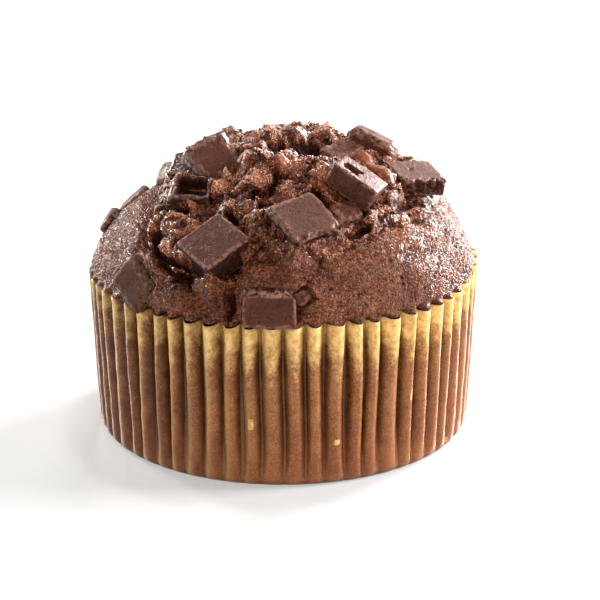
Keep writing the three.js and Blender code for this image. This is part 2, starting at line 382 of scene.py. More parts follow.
class Recipe:
    """The nodes of one material, laid out step by step."""

    def __init__(self, name: str) -> None:
        """Starts an empty material with its shader and the object's coordinates.

        Args:
            name: the material's name.
        """
        self.material = bpy.data.materials.new(name)
        self.material.use_nodes = True
        self.tree = self.material.node_tree
        self.shader = self.tree.nodes["Principled BSDF"]
        self.here = self.tree.nodes.new("ShaderNodeTexCoord").outputs["Object"]

    def node(self, kind: str, **settings: object) -> bpy.types.Node:
        """Adds a node and sets its options.

        Args:
            kind: Blender's name for it.
            **settings: its options.

        Returns:
            The node.
        """
        made = self.tree.nodes.new(kind)
        for key, value in settings.items():
            setattr(made, key, value)
        return made

    def feed(self, socket: Socket, value: Feed) -> None:
        """Links an output to a socket, or sets the socket to a plain value.

        Args:
            socket: the input.
            value: an output, a number or a colour.
        """
        if isinstance(value, Socket):
            self.tree.links.new(value, socket)
        else:
            socket.default_value = value

    def noise(
        self, size: float, detail: float = 2, rough: float = 0.5, where: Socket | None = None
    ) -> Socket:
        """Adds a random cloud.

        Args:
            size: width of its blobs in millimetres.
            detail: how many finer layers it has.
            rough: how strong they are.
            where: coordinates, or none for the object's own.

        Returns:
            A number from 0 to 1.
        """
        made = self.node("ShaderNodeTexNoise")
        self.feed(made.inputs["Vector"], where or self.here)
        made.inputs["Scale"].default_value = 1 / (size * MM)
        made.inputs["Detail"].default_value = detail
        made.inputs["Roughness"].default_value = rough
        return made.outputs["Fac"]

    def cells(self, size: float) -> tuple[Socket, Socket]:
        """Adds scattered centres.

        Args:
            size: millimetres from one to the next.

        Returns:
            Distance to the nearest centre, and that centre's own tint.
        """
        made = self.node("ShaderNodeTexVoronoi")
        self.feed(made.inputs["Vector"], self.here)
        made.inputs["Scale"].default_value = 1 / (size * MM)
        return made.outputs["Distance"], made.outputs["Color"]

    def stretched(self, x: float, y: float, z: float) -> Socket:
        """Scales the object's coordinates.

        Args:
            x: scale along this axis.
            y: the same.
            z: the same.

        Returns:
            The scaled coordinates.
        """
        made = self.node("ShaderNodeMapping")
        self.feed(made.inputs["Vector"], self.here)
        made.inputs["Scale"].default_value = (x, y, z)
        return made.outputs["Vector"]

    def value(self, name: str) -> Socket:
        """A number kept on the piece's vertices."""
        return self.node("ShaderNodeAttribute", attribute_name=name).outputs["Fac"]

    def height(self) -> Socket:
        """Finds the height above the base.

        Returns:
            The height in millimetres.
        """
        made = self.node("ShaderNodeSeparateXYZ")
        self.feed(made.inputs["Vector"], self.here)
        return self.times(made.outputs["Z"], 1 / MM)

    def maths(self, operation: str, first: Feed, second: Feed = 0.0) -> Socket:
        """Works out one sum.

        Args:
            operation: Blender's name for the sum.
            first: a number.
            second: another number.

        Returns:
            The result.
        """
        made = self.node("ShaderNodeMath", operation=operation)
        self.feed(made.inputs[0], first)
        self.feed(made.inputs[1], second)
        return made.outputs["Value"]

    def times(self, first: Feed, second: Feed) -> Socket:
        """The product of two numbers."""
        return self.maths("MULTIPLY", first, second)

    def plus(self, first: Feed, second: Feed) -> Socket:
        """The sum of two numbers."""
        return self.maths("ADD", first, second)

    def less(self, first: Feed, second: Feed) -> Socket:
        """The first number less the second."""
        return self.maths("SUBTRACT", first, second)

    def inverse(self, value: Feed) -> Socket:
        """What a number leaves of 1."""
        return self.maths("SUBTRACT", 1.0, value)

    def spread(
        self, value: Feed, low: float, high: float, start: float = 0, end: float = 1
    ) -> Socket:
        """Maps a number from one range to another, softly, and holds it at the ends.

        Args:
            value: the number.
            low: the first end of its range.
            high: the second.
            start: what low becomes.
            end: what high becomes.

        Returns:
            The mapped number.
        """
        made = self.node("ShaderNodeMapRange", interpolation_type="SMOOTHSTEP")
        self.feed(made.inputs["Value"], value)
        ends = {"From Min": low, "From Max": high, "To Min": start, "To Max": end}
        for key, number in ends.items():
            made.inputs[key].default_value = number
        return made.outputs["Result"]

    def ramp(self, value: Feed, *stops: tuple[float, Colour]) -> Socket:
        """Turns a number into a colour.

        Args:
            value: the number.
            *stops: places from 0 to 1, each with its colour.

        Returns:
            The colour.
        """
        made = self.node("ShaderNodeValToRGB")
        self.feed(made.inputs["Fac"], value)
        knots = made.color_ramp.elements
        while len(knots) < len(stops):
            knots.new(1.0)
        for knot, (place, colour) in zip(knots, stops):
            knot.position = place
            knot.color = colour
        return made.outputs["Color"]

    def tint(self, share: Feed, first: Feed, second: Feed) -> Socket:
        """Mixes two colours.

        Args:
            share: how much of the second there is.
            first: a colour.
            second: another colour.

        Returns:
            The mixed colour.
        """
        made = self.node("ShaderNodeMix", data_type="RGBA")
        self.feed(made.inputs["Factor"], share)
        self.feed(made.inputs["A"], first)
        self.feed(made.inputs["B"], second)
        return made.outputs["Result"]

    def bump(
        self, height: Feed, depth: float, under: Socket | None = None, share: Feed = 1.0
    ) -> Socket:
        """Adds fine relief.

        Args:
            height: its form, from 0 to 1.
            depth: its depth in millimetres.
            under: relief below it.
            share: how strongly it is felt.

        Returns:
            The relief, for the shader or for more relief on top.
        """
        made = self.node("ShaderNodeBump")
        self.feed(made.inputs["Height"], height)
        self.feed(made.inputs["Strength"], share)
        made.inputs["Distance"].default_value = depth * MM
        if under is not None:
            self.feed(made.inputs["Normal"], under)
        return made.outputs["Normal"]

    def finish(self, colour: Feed, rough: Feed, normal: Socket, mirror: float = 0.5) -> Material:
        """Feeds the shader.

        Args:
            colour: its colour.
            rough: its roughness.
            normal: its relief.
            mirror: how strongly it reflects.

        Returns:
            The finished material.
        """
        self.shader.inputs["Specular IOR Level"].default_value = mirror
        self.feed(self.shader.inputs["Base Color"], colour)
        self.feed(self.shader.inputs["Roughness"], rough)
        self.feed(self.shader.inputs["Normal"], normal)
        return self.material


@dataclass(frozen=True)
class CrumbFinish:
    """Moist chocolate sponge: brown crumb and lighter proud grains that glint, dark with painted shade
    in its pores and hollows.
    """

    name: str
    # pore and dark colour the low places, hollows and creases as painted shade.
    pore: Colour = tone(48, 20, 10)
    dark: Colour = tone(74, 32, 16)
    middle: Colour = tone(124, 63, 34)
    light: Colour = tone(198, 134, 96)
    caramel: Colour = tone(122, 64, 36)
    grain: float = 0.56
    grain_depth: float = 0.4
    crown_highlight: float = 0.16
    speckle: float = 0.14
    dull_pits: float = 0.1
    cloud: float = 0.05
    wet_grain: float = 0.6
    gloss: float = 0.34
    mirror: float = 0.3

    def material(self) -> Material:
        """Mixes the sponge.

        Returns:
            The material.
        """
        mix = Recipe(self.name)
        proud = mix.value("proud")
        cloud = mix.spread(mix.noise(3.4, 3), 0.3, 0.7, -1, 1)
        speck = mix.spread(mix.noise(self.grain * 0.62, 3, 0.7), 0.32, 0.68, -1, 1)
        cells, tint = mix.cells(self.grain)
        crown = mix.inverse(mix.spread(cells, 0.12, 0.6))
        own = mix.spread(tint, 0.15, 0.85, -1, 1)
        # Random tone of the grain, a painted highlight on each grain's crown and painted shade in its
        # pits, all muted where the crumb lies low in painted shade.
        tone_and_painted_shading = mix.plus(mix.times(speck, 0.22), mix.times(cloud, self.cloud))
        tone_and_painted_shading = mix.plus(tone_and_painted_shading, mix.times(crown, self.crown_highlight))
        tone_and_painted_shading = mix.plus(tone_and_painted_shading, mix.times(own, self.speckle))
        shaded_pits = mix.spread(mix.noise(self.grain * 1.1, 4, 0.75), 0.56, 0.66)
        tone_and_painted_shading = mix.less(tone_and_painted_shading, mix.times(shaded_pits, 0.3))
        tone_and_painted_shading = mix.times(tone_and_painted_shading, mix.spread(proud, 0.0, 0.3, 0.45, 1.0))
        # Colour follows proud: the lower and deeper a place, the darker, as painted shade, and the
        # proud tops lighter.
        colour = mix.ramp(
            mix.plus(proud, tone_and_painted_shading),
            (0.08, self.pore), (0.32, self.dark), (0.6, self.middle), (1.0, self.light),
        )
        smear = mix.value("smear")
        wet = mix.noise(1.9, 3, 0.6)
        share = mix.spread(wet, 0.38, 0.6, self.wet_grain, 1.0)
        share = mix.times(share, mix.spread(smear, 0.1, 0.6, 1.0, 0.15))
        beads = mix.bump(mix.inverse(cells), self.grain_depth, None, share)
        medium = mix.bump(mix.noise(self.grain * 0.9, 3, 0.6), self.grain_depth, beads, share)
        fine = mix.bump(mix.noise(self.grain * 0.4, 2, 0.6), self.grain_depth * 0.4, medium, share)
        rough = mix.spread(wet, 0.38, 0.6, self.gloss - 0.08, self.gloss + 0.08)
        rough = mix.plus(rough, mix.spread(crown, 0.1, 0.6, self.dull_pits, 0.0))
        rough = mix.plus(rough, mix.spread(smear, 0.1, 0.6, 0.0, 0.16))
        colour = mix.tint(mix.times(smear, 0.75), colour, self.caramel)
        return mix.finish(colour, rough, fine, self.mirror)


@dataclass(frozen=True)
class ChocolateFinish:
    """Dull baked chocolate with a pale bloom and scratches; painted shade in its pores, cracks and on
    its sides; lighter edges that are partly wear, partly a painted highlight.
    """

    name: str
    base: Colour = tone(85, 47, 34)
    # deep also colours the painted shade; worn colours the bloom and the edges, which are partly wear
    # and partly a painted highlight.
    deep: Colour = tone(32, 14, 9)
    worn: Colour = tone(144, 102, 84)
    bloom: float = 0.14
    gloss: float = 0.45
    mirror: float = 0.13
    relief: float = 1.0

    def material(self) -> Material:
        """Mixes the chocolate.

        Returns:
            The material.
        """
        mix = Recipe(self.name)
        edge = mix.value("edge")
        face = mix.value("face")
        cloud = mix.spread(mix.noise(3.2, 4, 0.6), 0.35, 0.7)
        colour = mix.tint(mix.times(cloud, 0.22), self.base, self.deep)
        # Painted shade: the sides, and the floor of a hollow chunk, go towards deep.
        colour = mix.tint(mix.times(mix.inverse(face), 0.9), colour, self.deep)
        dust = mix.spread(mix.noise(0.7, 4, 0.7), 0.48, 0.72)
        colour = mix.tint(mix.times(dust, self.bloom), colour, self.worn)
        # Lighter edges, partly wear and partly a painted highlight.
        rub_and_highlight = mix.times(edge, mix.spread(mix.noise(0.9, 3), 0.35, 0.6))
        colour = mix.tint(mix.times(rub_and_highlight, 0.7), colour, self.worn)
        # Pores darkened towards deep as painted shade.
        pores = mix.spread(mix.cells(0.95)[0], 0.12, 0.24)
        colour = mix.tint(mix.times(mix.inverse(pores), 0.75), colour, self.deep)
        # Hairline cracks darkened towards deep as painted shade.
        away = mix.maths("ABSOLUTE", mix.less(mix.noise(2.0, 3, 0.6), 0.5))
        cracks = mix.spread(away, 0.0, 0.016)
        colour = mix.tint(mix.times(mix.inverse(cracks), 0.5), colour, self.deep)
        streaks = mix.noise(0.5, 2, 0.5, mix.stretched(1.0, 0.35, 0.35))
        relief = mix.bump(mix.noise(2.4, 3), 0.14 * self.relief)
        relief = mix.bump(pores, 0.16 * self.relief, relief)
        relief = mix.bump(cracks, 0.1 * self.relief, relief)
        relief = mix.bump(streaks, 0.12 * self.relief, relief)
        relief = mix.bump(mix.noise(0.3, 2), 0.05 * self.relief, relief)
        rough = mix.spread(mix.noise(1.6, 3), 0.3, 0.7, self.gloss - 0.06, self.gloss + 0.16)
        return mix.finish(colour, rough, relief, self.mirror)


@dataclass(frozen=True)
class PaperFinish:
    """Greaseproof paper: golden and dry at the rim, soaked brown below, dark in the folds from stain
    and painted shade.
    """

    name: str = "baked_paper"
    # The dry gold also colours the painted highlight on the ridge edges; the stain colour also the
    # painted shade in the folds, on the flanks and at the foot.
    dry: Colour = tone(232, 192, 120)
    dry_shade: Colour = tone(196, 146, 78)
    soaked: Colour = tone(150, 92, 48)
    soaked_red: Colour = tone(122, 62, 30)
    fibre: Colour = tone(214, 154, 92)
    stain_and_shade: Colour = tone(62, 32, 12)
    # crease colours a painted highlight along the crease lines.
    crease: Colour = tone(128, 98, 68)
    mirror: float = 0.3

    def material(self) -> Material:
        """Mixes the paper.

        Returns:
            The material.
        """
        mix = Recipe(self.name)
        fold = mix.value("fold")
        drop = mix.value("drop")
        blotch = mix.spread(mix.noise(2.8, 4, 0.65), 0.3, 0.7, -1, 1)
        speck = mix.spread(mix.noise(0.34, 3, 0.7), 0.3, 0.7, -1, 1)
        reach = mix.plus(mix.times(fold, 5.6), 1.2)
        soak = mix.less(drop, reach)
        soak = mix.plus(soak, mix.times(blotch, 2.4))
        soak = mix.plus(soak, mix.times(speck, 1.7))
        soak = mix.less(soak, mix.times(mix.value("dry_spot"), 40))
        # The painted flank shade also turns those flanks brown.
        soak = mix.plus(soak, mix.times(mix.value("flank_shade"), 3.5))
        soaked = mix.spread(soak, -3.6, 5.0)
        red = mix.spread(mix.noise(6.5, 3, 0.6), 0.4, 0.65)
        brown = mix.tint(mix.times(red, 0.75), self.soaked, self.soaked_red)
        grain = mix.spread(mix.noise(0.3, 3, 0.75), 0.46, 0.7)
        brown = mix.tint(mix.times(grain, 0.42), brown, self.fibre)
        pit = mix.spread(mix.noise(0.42, 3, 0.7), 0.52, 0.68)
        brown = mix.tint(mix.times(pit, 0.3), brown, self.stain_and_shade)
        gold = mix.tint(mix.spread(mix.noise(1.3, 4, 0.7), 0.38, 0.68), self.dry, self.dry_shade)
        colour = mix.tint(soaked, gold, brown)
        # Darker in the folds, partly soak stain and partly painted shade, less so near the foot.
        shallow = mix.plus(fold, mix.spread(drop, 0, 9, 0.62, 0.0))
        hollow = mix.inverse(mix.spread(shallow, 0.12, 0.96))
        hollow = mix.times(hollow, mix.spread(drop, 22, 32, 1.0, 0.3))
        hollow = mix.times(hollow, mix.spread(blotch, -1, 1, 0.78, 1.0))
        colour = mix.tint(hollow, colour, self.stain_and_shade)
        smudge = mix.spread(mix.noise(1.3, 4, 0.75), 0.5, 0.68)
        smudge = mix.times(smudge, mix.spread(drop, 2, 8, 0.05, 0.36))
        colour = mix.tint(smudge, colour, self.stain_and_shade)
        # Painted shade on one flank of each ridge on the left.
        flank_shade = mix.times(mix.value("flank_shade"), mix.spread(blotch, -1, 1, 0.6, 0.95))
        colour = mix.tint(flank_shade, colour, self.stain_and_shade)
        # Painted highlight along the other edge of those ridges.
        crest_highlight = mix.times(mix.value("crest_highlight"), mix.spread(speck, -1, 1, 0.6, 1.0))
        colour = mix.tint(crest_highlight, colour, self.dry)
        colour = mix.tint(mix.spread(drop, 14, 32, 0.0, 0.36), colour, self.soaked_red)
        # A lighter line along each crease, a painted highlight.
        line = mix.times(mix.value("crease"), mix.spread(speck, -1, 1, 0.3, 0.7))
        colour = mix.tint(line, colour, self.crease)
        relief = mix.bump(mix.noise(1.6, 3), 0.16)
        relief = mix.bump(mix.noise(0.4, 3, 0.7), 0.06, relief)
        # Painted shadow along the lowest millimetre or so, where the foot meets the floor.
        low = mix.spread(mix.height(), 0.1, 1.3, 0.85, 0.0)
        colour = mix.tint(low, colour, self.stain_and_shade)
        rough = mix.spread(soaked, 0, 1, 0.42, 0.27)
        return mix.finish(colour, rough, relief, self.mirror)


# ---- The paper case ----


@dataclass
class PaperCase:
    """The pleated paper: a thin wall from the flat base up to a scalloped rim.

    Each row of the wall is a height, the reach of the ridges and the depth of the folds there.
    Each dry spot is an azimuth, a height and a radius.
    """

    pleats: int = 60
    first_valley: float = 0.3
    rim_height: float = 33.0
    paper: float = 0.16
    ridge_samples: int = 19
    crease_samples: int = 3
    crease_share: float = 0.09
    crease_proud: float = 0.1
    roundness: float = 2.3
    horn: float = 0.5
    uneven: float = 0.24
    wall: tuple[Point, ...] = (
        (0.0, 37.2, 0.1),
        (0.5, 37.9, 0.3),
        (1.2, 38.4, 0.6),
        (2.6, 38.6, 0.9),
        (6.0, 38.8, 1.5),
        (12.0, 39.1, 1.95),
        (20.0, 39.45, 2.2),
        (33.0, 40.0, 2.7),
    )
    dry_spots: tuple[Point, ...] = (
        (-9.0, 13.3, 0.8),
        (15.9, 9.0, 0.7),
        (40.8, 16.1, 0.9),
        (59.5, 1.6, 1.5),
    )
    spot_circle: float = 39.0
    rings_up: int = 35
    loose_side: float = 93.0
    loose_rise: float = 2.2
    loose_lean: float = 0.25

    def samples(self) -> Array:
        """Spaces the points round one pleat.

        Returns:
            Places from 0 to 1, the ridge first and then the crease.
        """
        reach = (1 - self.crease_share) / 2
        turns = np.linspace(-math.pi / 2, math.pi / 2, self.ridge_samples)
        ridge = 0.5 + reach * np.sin(turns)
        steps = (np.arange(self.crease_samples) + 1) / (self.crease_samples + 1)
        return np.append(ridge, 0.5 + reach + self.crease_share * steps)

    def loose(self, azimuth: Array, reach: float) -> Array:
        """How near an azimuth is to the side where the rim stands off the cake."""
        away = (azimuth - self.loose_side) / reach
        return np.exp(-away * away)

    def rim_at(self, azimuth: Array) -> Array:
        """Height of the rim, which stands up clear of the cake at one side."""
        wave = 0.25 * np.sin(np.radians(azimuth * 5 + 40))
        return self.rim_height + self.loose_rise * self.loose(azimuth, 20) + wave

    def flare(self, azimuth: Array, height: Array) -> Array:
        """Finds how far the wall leans out from its even form.

        Args:
            azimuth: degrees.
            height: millimetres above the base.

        Returns:
            Millimetres outwards.
        """
        turn = np.radians(azimuth)
        wave = 0.12 * np.sin(3 * turn + 0.6) + 0.08 * np.sin(7 * turn + 2.1)
        return (wave + self.loose_lean * self.loose(azimuth, 15)) * smooth(8, 33, height)

    def luck(self, pleat: Array, salt: int) -> Array:
        """Each pleat's own random number from 0 to 1."""
        return Grain.dice(np.stack([pleat % self.pleats, pleat * 0], -1), salt)

    def shift(self, valley: Array) -> Array:
        """How far a valley lies from its even place, in pleats."""
        return (self.luck(valley, 15) - 0.5) * self.uneven

    def pleat_of(self, azimuth: Array) -> tuple[Array, Array]:
        """Finds the pleat that an azimuth lies in.

        Args:
            azimuth: degrees.

        Returns:
            The pleat's number, and the place in it from 0 to 1.
        """
        counted = (azimuth - self.first_valley) / 360 * self.pleats
        number = np.floor(counted).astype(np.int64)
        number = number - (counted < number + self.shift(number))
        number = number + (counted >= number + 1 + self.shift(number + 1))
        start = number + self.shift(number)
        width = 1 + self.shift(number + 1) - self.shift(number)
        return number, (counted - start) / width

    def profile(self, height: Array) -> tuple[Array, Array]:
        """Reach of the ridges and depth of the folds at a height."""
        levels, ridges, depths = zip(*self.wall)
        return np.interp(height, levels, ridges), np.interp(height, levels, depths)

    def radius(self, azimuth: Array, height: Array) -> tuple[Array, Array]:
        """Finds the outer face of the paper.

        Args:
            azimuth: degrees.
            height: millimetres above the base.

        Returns:
            Its distance from the axis, and how far it is up the ridge from 0 to 1.
        """
        ridge, depth = self.profile(height)
        number, within = self.pleat_of(azimuth)
        own = self.luck(number, 5)
        half = (1 - self.crease_share) / 2
        lean = (own - 0.5) * 0.14
        across = (within - 0.5 - lean * np.sin(within * math.pi)) / half
        past = np.maximum(np.abs(within - 0.5) - half, 0) * 2 / self.crease_share
        up = np.maximum(1 - np.abs(np.clip(across, -1, 1)) ** self.roundness, 0)
        up = np.where(past > 0, self.crease_proud * np.sin(past * math.pi / 2), up)
        deep = depth * (0.85 + 0.3 * own)
        return ridge + self.flare(azimuth, height) - deep * (1 - up), up

    def clear_reach(self, height: Array) -> Array:
        """Distance from the axis that is clear of every fold."""
        ridge, depth = self.profile(height)
        return ridge - 1.15 * depth - self.paper - 0.5

    def stand(
        self, azimuth: Array, height: Array, pleat: Array, ring: Array, inside: Array
    ) -> tuple[Array, Array]:
        """Places the points of the wall.

        Args:
            azimuth: degrees.
            height: millimetres above the base.
            pleat: number of each point's pleat.
            ring: number of its ring, from the middle of the base outwards and up.
            inside: whether it is on the inner face.

        Returns:
            The points, and how far each is up its ridge from 0 to 1.
        """
        wobble = 0.2 * np.sin(height / 7 + self.luck(pleat, 9) * 6.3) * smooth(1, 8, height)
        swing = np.degrees(wobble / self.wall[-1][1])
        reach, up = self.radius(azimuth, height)
        place = around(reach, np.radians(azimuth), height)
        reach = reach + 0.1 * Grain.swells(place, 3.5, 3) * smooth(2, 8, height)
        reach = reach + 0.035 * Grain.swells(place, 1.1, 4)
        reach = reach - np.where(inside, self.paper, 0)
        reach = reach * np.where(ring == 0, 0, np.where(ring == 1, 0.9, 1))
        height = height + np.where(inside & (height < 1), self.paper, 0)
        return around(reach, np.radians(azimuth + swing), height), up

    def mark(
        self, mesh: bpy.types.Mesh, azimuth: Array, sample: Array, height: Array, drop: Array
    ) -> None:
        """Keeps what the finish reads of the folds, the stain, the dry spots and the painted shade and
        highlights.

        Args:
            mesh: the wall.
            azimuth: degrees.
            sample: number of each point in its pleat.
            height: millimetres above the base.
            drop: millimetres below the rim.
        """
        add_values(mesh, "drop", drop * (1 + 0.33 * smooth(40, 80, np.abs(azimuth))))
        side = np.clip((self.samples()[sample] - 0.5) * 2 / (1 - self.crease_share), -1, 1)
        # On the left the ridges get painted shade on one flank and a painted highlight along the other
        # edge.
        turned = (1 - smooth(-46, 6, azimuth)) * smooth(-175, -105, azimuth)
        add_values(mesh, "flank_shade", smooth(-0.1, 0.6, side) * turned)
        add_values(mesh, "crest_highlight", np.exp(-(((side + 0.6) / 0.4) ** 2)) * turned)
        # The crease lines, which the finish paints lighter as a highlight.
        middle = self.ridge_samples + (self.crease_samples - 1) / 2
        on_line = 1 - np.clip(np.abs(sample - middle) - 0.4, 0, 1)
        add_values(mesh, "crease", on_line * smooth(0.5, 3, height))
        spots = np.zeros(len(azimuth))
        for spot_azimuth, spot_height, spot_reach in self.dry_spots:
            across = (azimuth - spot_azimuth) * math.pi / 180 * self.spot_circle
            away = np.hypot(across, height - spot_height)
            spots = np.maximum(spots, 1 - smooth(0.6, 1.1, away / spot_reach))
        add_values(mesh, "dry_spot", spots)

    def build(self) -> Piece:
        """Makes the wall, outer and inner face.

        Returns:
            The paper as one piece.
        """
        at = self.samples()
        levels = np.concatenate([[0, 0], np.linspace(0, 1, self.rings_up)])
        outer = len(levels)
        net = RoundNet("paper_wall", 2 * outer, self.pleats * len(at))
        pleat, sample = net.step // len(at), net.step % len(at)
        width = 1 + self.shift(pleat + 1) - self.shift(pleat)
        place = pleat + self.shift(pleat) + at[sample] * width
        azimuth = (self.first_valley + place * 360 / self.pleats + 180) % 360 - 180
        inside = net.ring >= outer
        ring = np.where(inside, 2 * outer - 1 - net.ring, net.ring)
        _, rim_up = self.radius(azimuth, np.full(len(azimuth), self.rim_height))
        rim = self.rim_at(azimuth) + self.horn * (1 - rim_up) ** 1.5
        points, up = self.stand(azimuth, levels[ring] ** 1.15 * rim, pleat, ring, inside)
        place_points(net.piece.data, points)
        add_values(net.piece.data, "fold", up)
        self.mark(net.piece.data, azimuth, sample, points[:, 2], rim - points[:, 2])
        net.piece.data.materials.append(PaperFinish().material())
        attach(net.piece, "baking_paper", "paper_case")
        return net.piece


# ---- Chocolate chunks ----


class Form(Enum):
    """How a chunk departs from a plain moulded square."""

    SQUARE = "square"
    CHAMFERED = "chamfered"
    SOFT = "soft"
    CHIPPED = "chipped"
    HOLLOW = "hollow"
    BRICK = "brick"
    RIDGE = "ridge"
    BROKEN = "broken"
    MELTED = "melted"


class Coat(Enum):
    """How the heat has left a chunk's surface."""

    DULL = "dull"
    BRIGHT = "bright"
    DARK = "dark"


# Cuts along each edge of a chunk, of which a large one has more.
LARGE_CHUNK = 7.0
FINE_CUTS = 44
COARSE_CUTS = 22


@dataclass(frozen=True)
class Chunk:
    """One chunk: centre of its outer face, the way it faces, its turn and its size.

    Its edge is the radius of its worn edges. Its unshaded sides go from 0, painted dark as shade,
    to 1, as light as its face. Its bank is how far below its face the crumb climbs its sides, if at
    all.
    """

    name: str
    at: Point
    faces: Place
    turn: float
    size: Point
    form: Form = Form.SQUARE
    edge: float = 0.6
    unshaded_sides: float = 0.0
    coat: Coat = Coat.DULL
    bank: float = 0.0

    def axes(self) -> Array:
        """Finds its own directions.

        Returns:
            Along, across and out, as rows.
        """
        out = towards(*self.faces)
        level = unit(np.cross((0, 0, 1), out))
        upward = np.cross(out, level)
        turn = math.radians(self.turn)
        along = level * math.cos(turn) + upward * math.sin(turn)
        across = upward * math.cos(turn) - level * math.sin(turn)
        return np.stack([along, across, out])

    def local(self, points: Array) -> Array:
        """Points in the chunk's own directions, from the centre of its outer face."""
        return (points - np.array(self.at)) @ self.axes().T

    def world(self, points: Array) -> Array:
        """The chunk's own points in the frame of the part."""
        return points @ self.axes() + np.array(self.at)

    def build(self, coats: dict[Coat, Material]) -> Piece:
        """Makes the chunk: a block with soft worn edges, then what its form asks.

        Args:
            coats: the material of each coat.

        Returns:
            The chunk as one piece.
        """
        cuts = FINE_CUTS if max(self.size) > LARGE_CHUNK else COARSE_CUTS
        net = bmesh.new()
        bmesh.ops.create_cube(net, size=1)
        bmesh.ops.subdivide_edges(net, edges=net.edges, cuts=cuts, use_grid_fill=True)
        piece = finish_net(net, f"{self.name}_dressed")
        block = points_of(piece.data) * MM
        half = np.array(self.size) / 2
        points, edge = self.soften(block, half)
        points = self.shape(points, half)
        if self.form is Form.CHAMFERED:
            edge = np.maximum(edge, 1.5 * smooth(half[1] - 2.1, half[1] - 1.5, points[:, 1]))
        # Painted shade: the sides, and the inside of a hollow, are marked off the face so that the
        # finish darkens them.
        face = np.maximum(smooth(-0.9, -0.25, points[:, 2]), self.unshaded_sides)
        if self.form is Form.HOLLOW:
            wall = np.max(np.abs(block[:, :2]) * 2 * half[:2] - half[:2] + 0.8, axis=-1)
            face = face * (1 - (wall < 0) * smooth(0.6, 1.4, -points[:, 2]))
        place_points(piece.data, self.world(points))
        add_values(piece.data, "edge", edge)
        add_values(piece.data, "face", face)
        piece.data.materials.append(coats[self.coat])
        attach(piece, "dark_chocolate", self.name)
        return piece

    def soften(self, block: Array, half: Array) -> tuple[Array, Array]:
        """Rounds the edges of a unit block.

        Args:
            block: points on a cube with sides of 1.
            half: half of the chunk's size along each axis.

        Returns:
            Points with the outer face at height 0, and how near each is to an edge.
        """
        points = block * 2 * half
        spot = self.world(points)
        wear = self.edge * (1 + 0.4 * Grain.swells(spot, 2.2, 21) + 0.2 * Grain.swells(spot, 0.9, 22))
        wear = np.clip(wear, 0.2, half.min() * 0.95)[:, None]
        core = np.clip(points, wear - half, half - wear)
        reach = points - core
        edge = smooth(1.1, 1.6, np.sum(np.abs(reach) > 1e-6, axis=-1) + 0.0)
        points = core + unit(reach) * wear
        points = points + 0.1 * Grain.swells(spot, 4.2, 23)[:, None] * unit(reach)
        points = points + 0.035 * Grain.layered(spot, 1.2, 2, 24)[:, None] * unit(reach)
        points[:, 2] -= half[2]
        return points, edge

    def shape(self, points: Array, half: Array) -> Array:
        """Gives the chunk what its form asks for beyond the plain block.

        Args:
            points: points in the chunk's own directions.
            half: half of the chunk's size along each axis.

        Returns:
            The same points, with its own holes, chips and slopes.
        """
        x, y, z = points.T.copy()
        top = smooth(-1.6, -0.3, z)
        spot = self.world(points)
        if self.form is Form.HOLLOW:
            side = np.maximum(np.abs(x) / (half[0] - 0.6), np.abs(y) / (half[1] - 0.6))
            side = side + 0.12 * Grain.swells(spot, 1.8, 40)
            z = z - 3.9 * (1 - smooth(0.84, 1.0, side)) * top
            z = z - 1.4 * smooth(0.2, 1, y / half[1]) * top
            z = z + 0.5 * Grain.layered(spot, 3.2, 2, 38) * top
            x = x + 0.4 * Grain.swells(spot, 2.8, 41)
        elif self.form is Form.CHAMFERED:
            z = z - 0.85 * np.maximum(y - half[1] + 1.9, 0)
            far = smooth(half[0] - 2.6, half[0], x) * smooth(half[1] - 2.6, half[1], y)
            x = x - 1.1 * far
            y = y - 0.9 * far
        elif self.form is Form.BRICK:
            side = np.maximum(np.abs(x - 1.9) / 1.9, np.abs(y - 0.75) / 1.5)
            hole = 1 - smooth(0.75, 1.05, side + 0.3 * Grain.swells(spot, 1.3, 39))
            z = z - 2.4 * hole * top
            knob = np.hypot(x + 0.7, y - 0.8)
            z = z + 2.2 * (1 - smooth(0.7, 1.3, knob)) * hole * top
        elif self.form is Form.RIDGE:
            deep = smooth(-4.6, -0.3, z)
            front = smooth(-0.1, 1.0, -y / half[1])
            z = z - 1.5 * front * deep
            bowl = 1 - smooth(0.3, 1.0, np.hypot(x / half[0], (z + half[2]) / half[2]))
            y = y + 0.9 * bowl * smooth(0.3, 1, -y / half[1])
            z = z - 0.6 * np.maximum(np.abs(x) - half[0] + 1.6, 0) * deep
        elif self.form is Form.CHIPPED:
            chip = smooth(0.25, 0.8, Grain.swells(spot, 1.9, 31) + 0.5)
            rim = smooth(half[0] - 1.3, half[0] - 0.2, x)
            z = z - 0.7 * chip * rim * top
            x = x - 0.7 * chip * rim
            worn = smooth(half[1] - 2.6, half[1], y) * smooth(half[0] - 2.6, half[0], x)
            z = z - 0.9 * worn * top
        elif self.form is Form.BROKEN:
            bite = smooth(-0.2, 0.6, Grain.layered(spot, 1.0, 2, 33))
            rim = smooth(half[1] - 1.6, half[1] - 0.3, -y)
            y = y + 0.9 * bite * rim
            pit, mark = Grain.nests(spot, 2.2, 34)
            z = z - 0.5 * (1 - smooth(0.1, 0.28, pit)) * (mark > 0.5) * top
        elif self.form is Form.MELTED:
            lump = 0.5 * Grain.layered(spot, 2.6, 3, 35)
            z = z + lump * top
            x = x + 0.3 * Grain.swells(spot, 2.4, 36)
            y = y + 0.3 * Grain.swells(spot, 2.4, 37)
        return np.stack([x, y, z], -1)


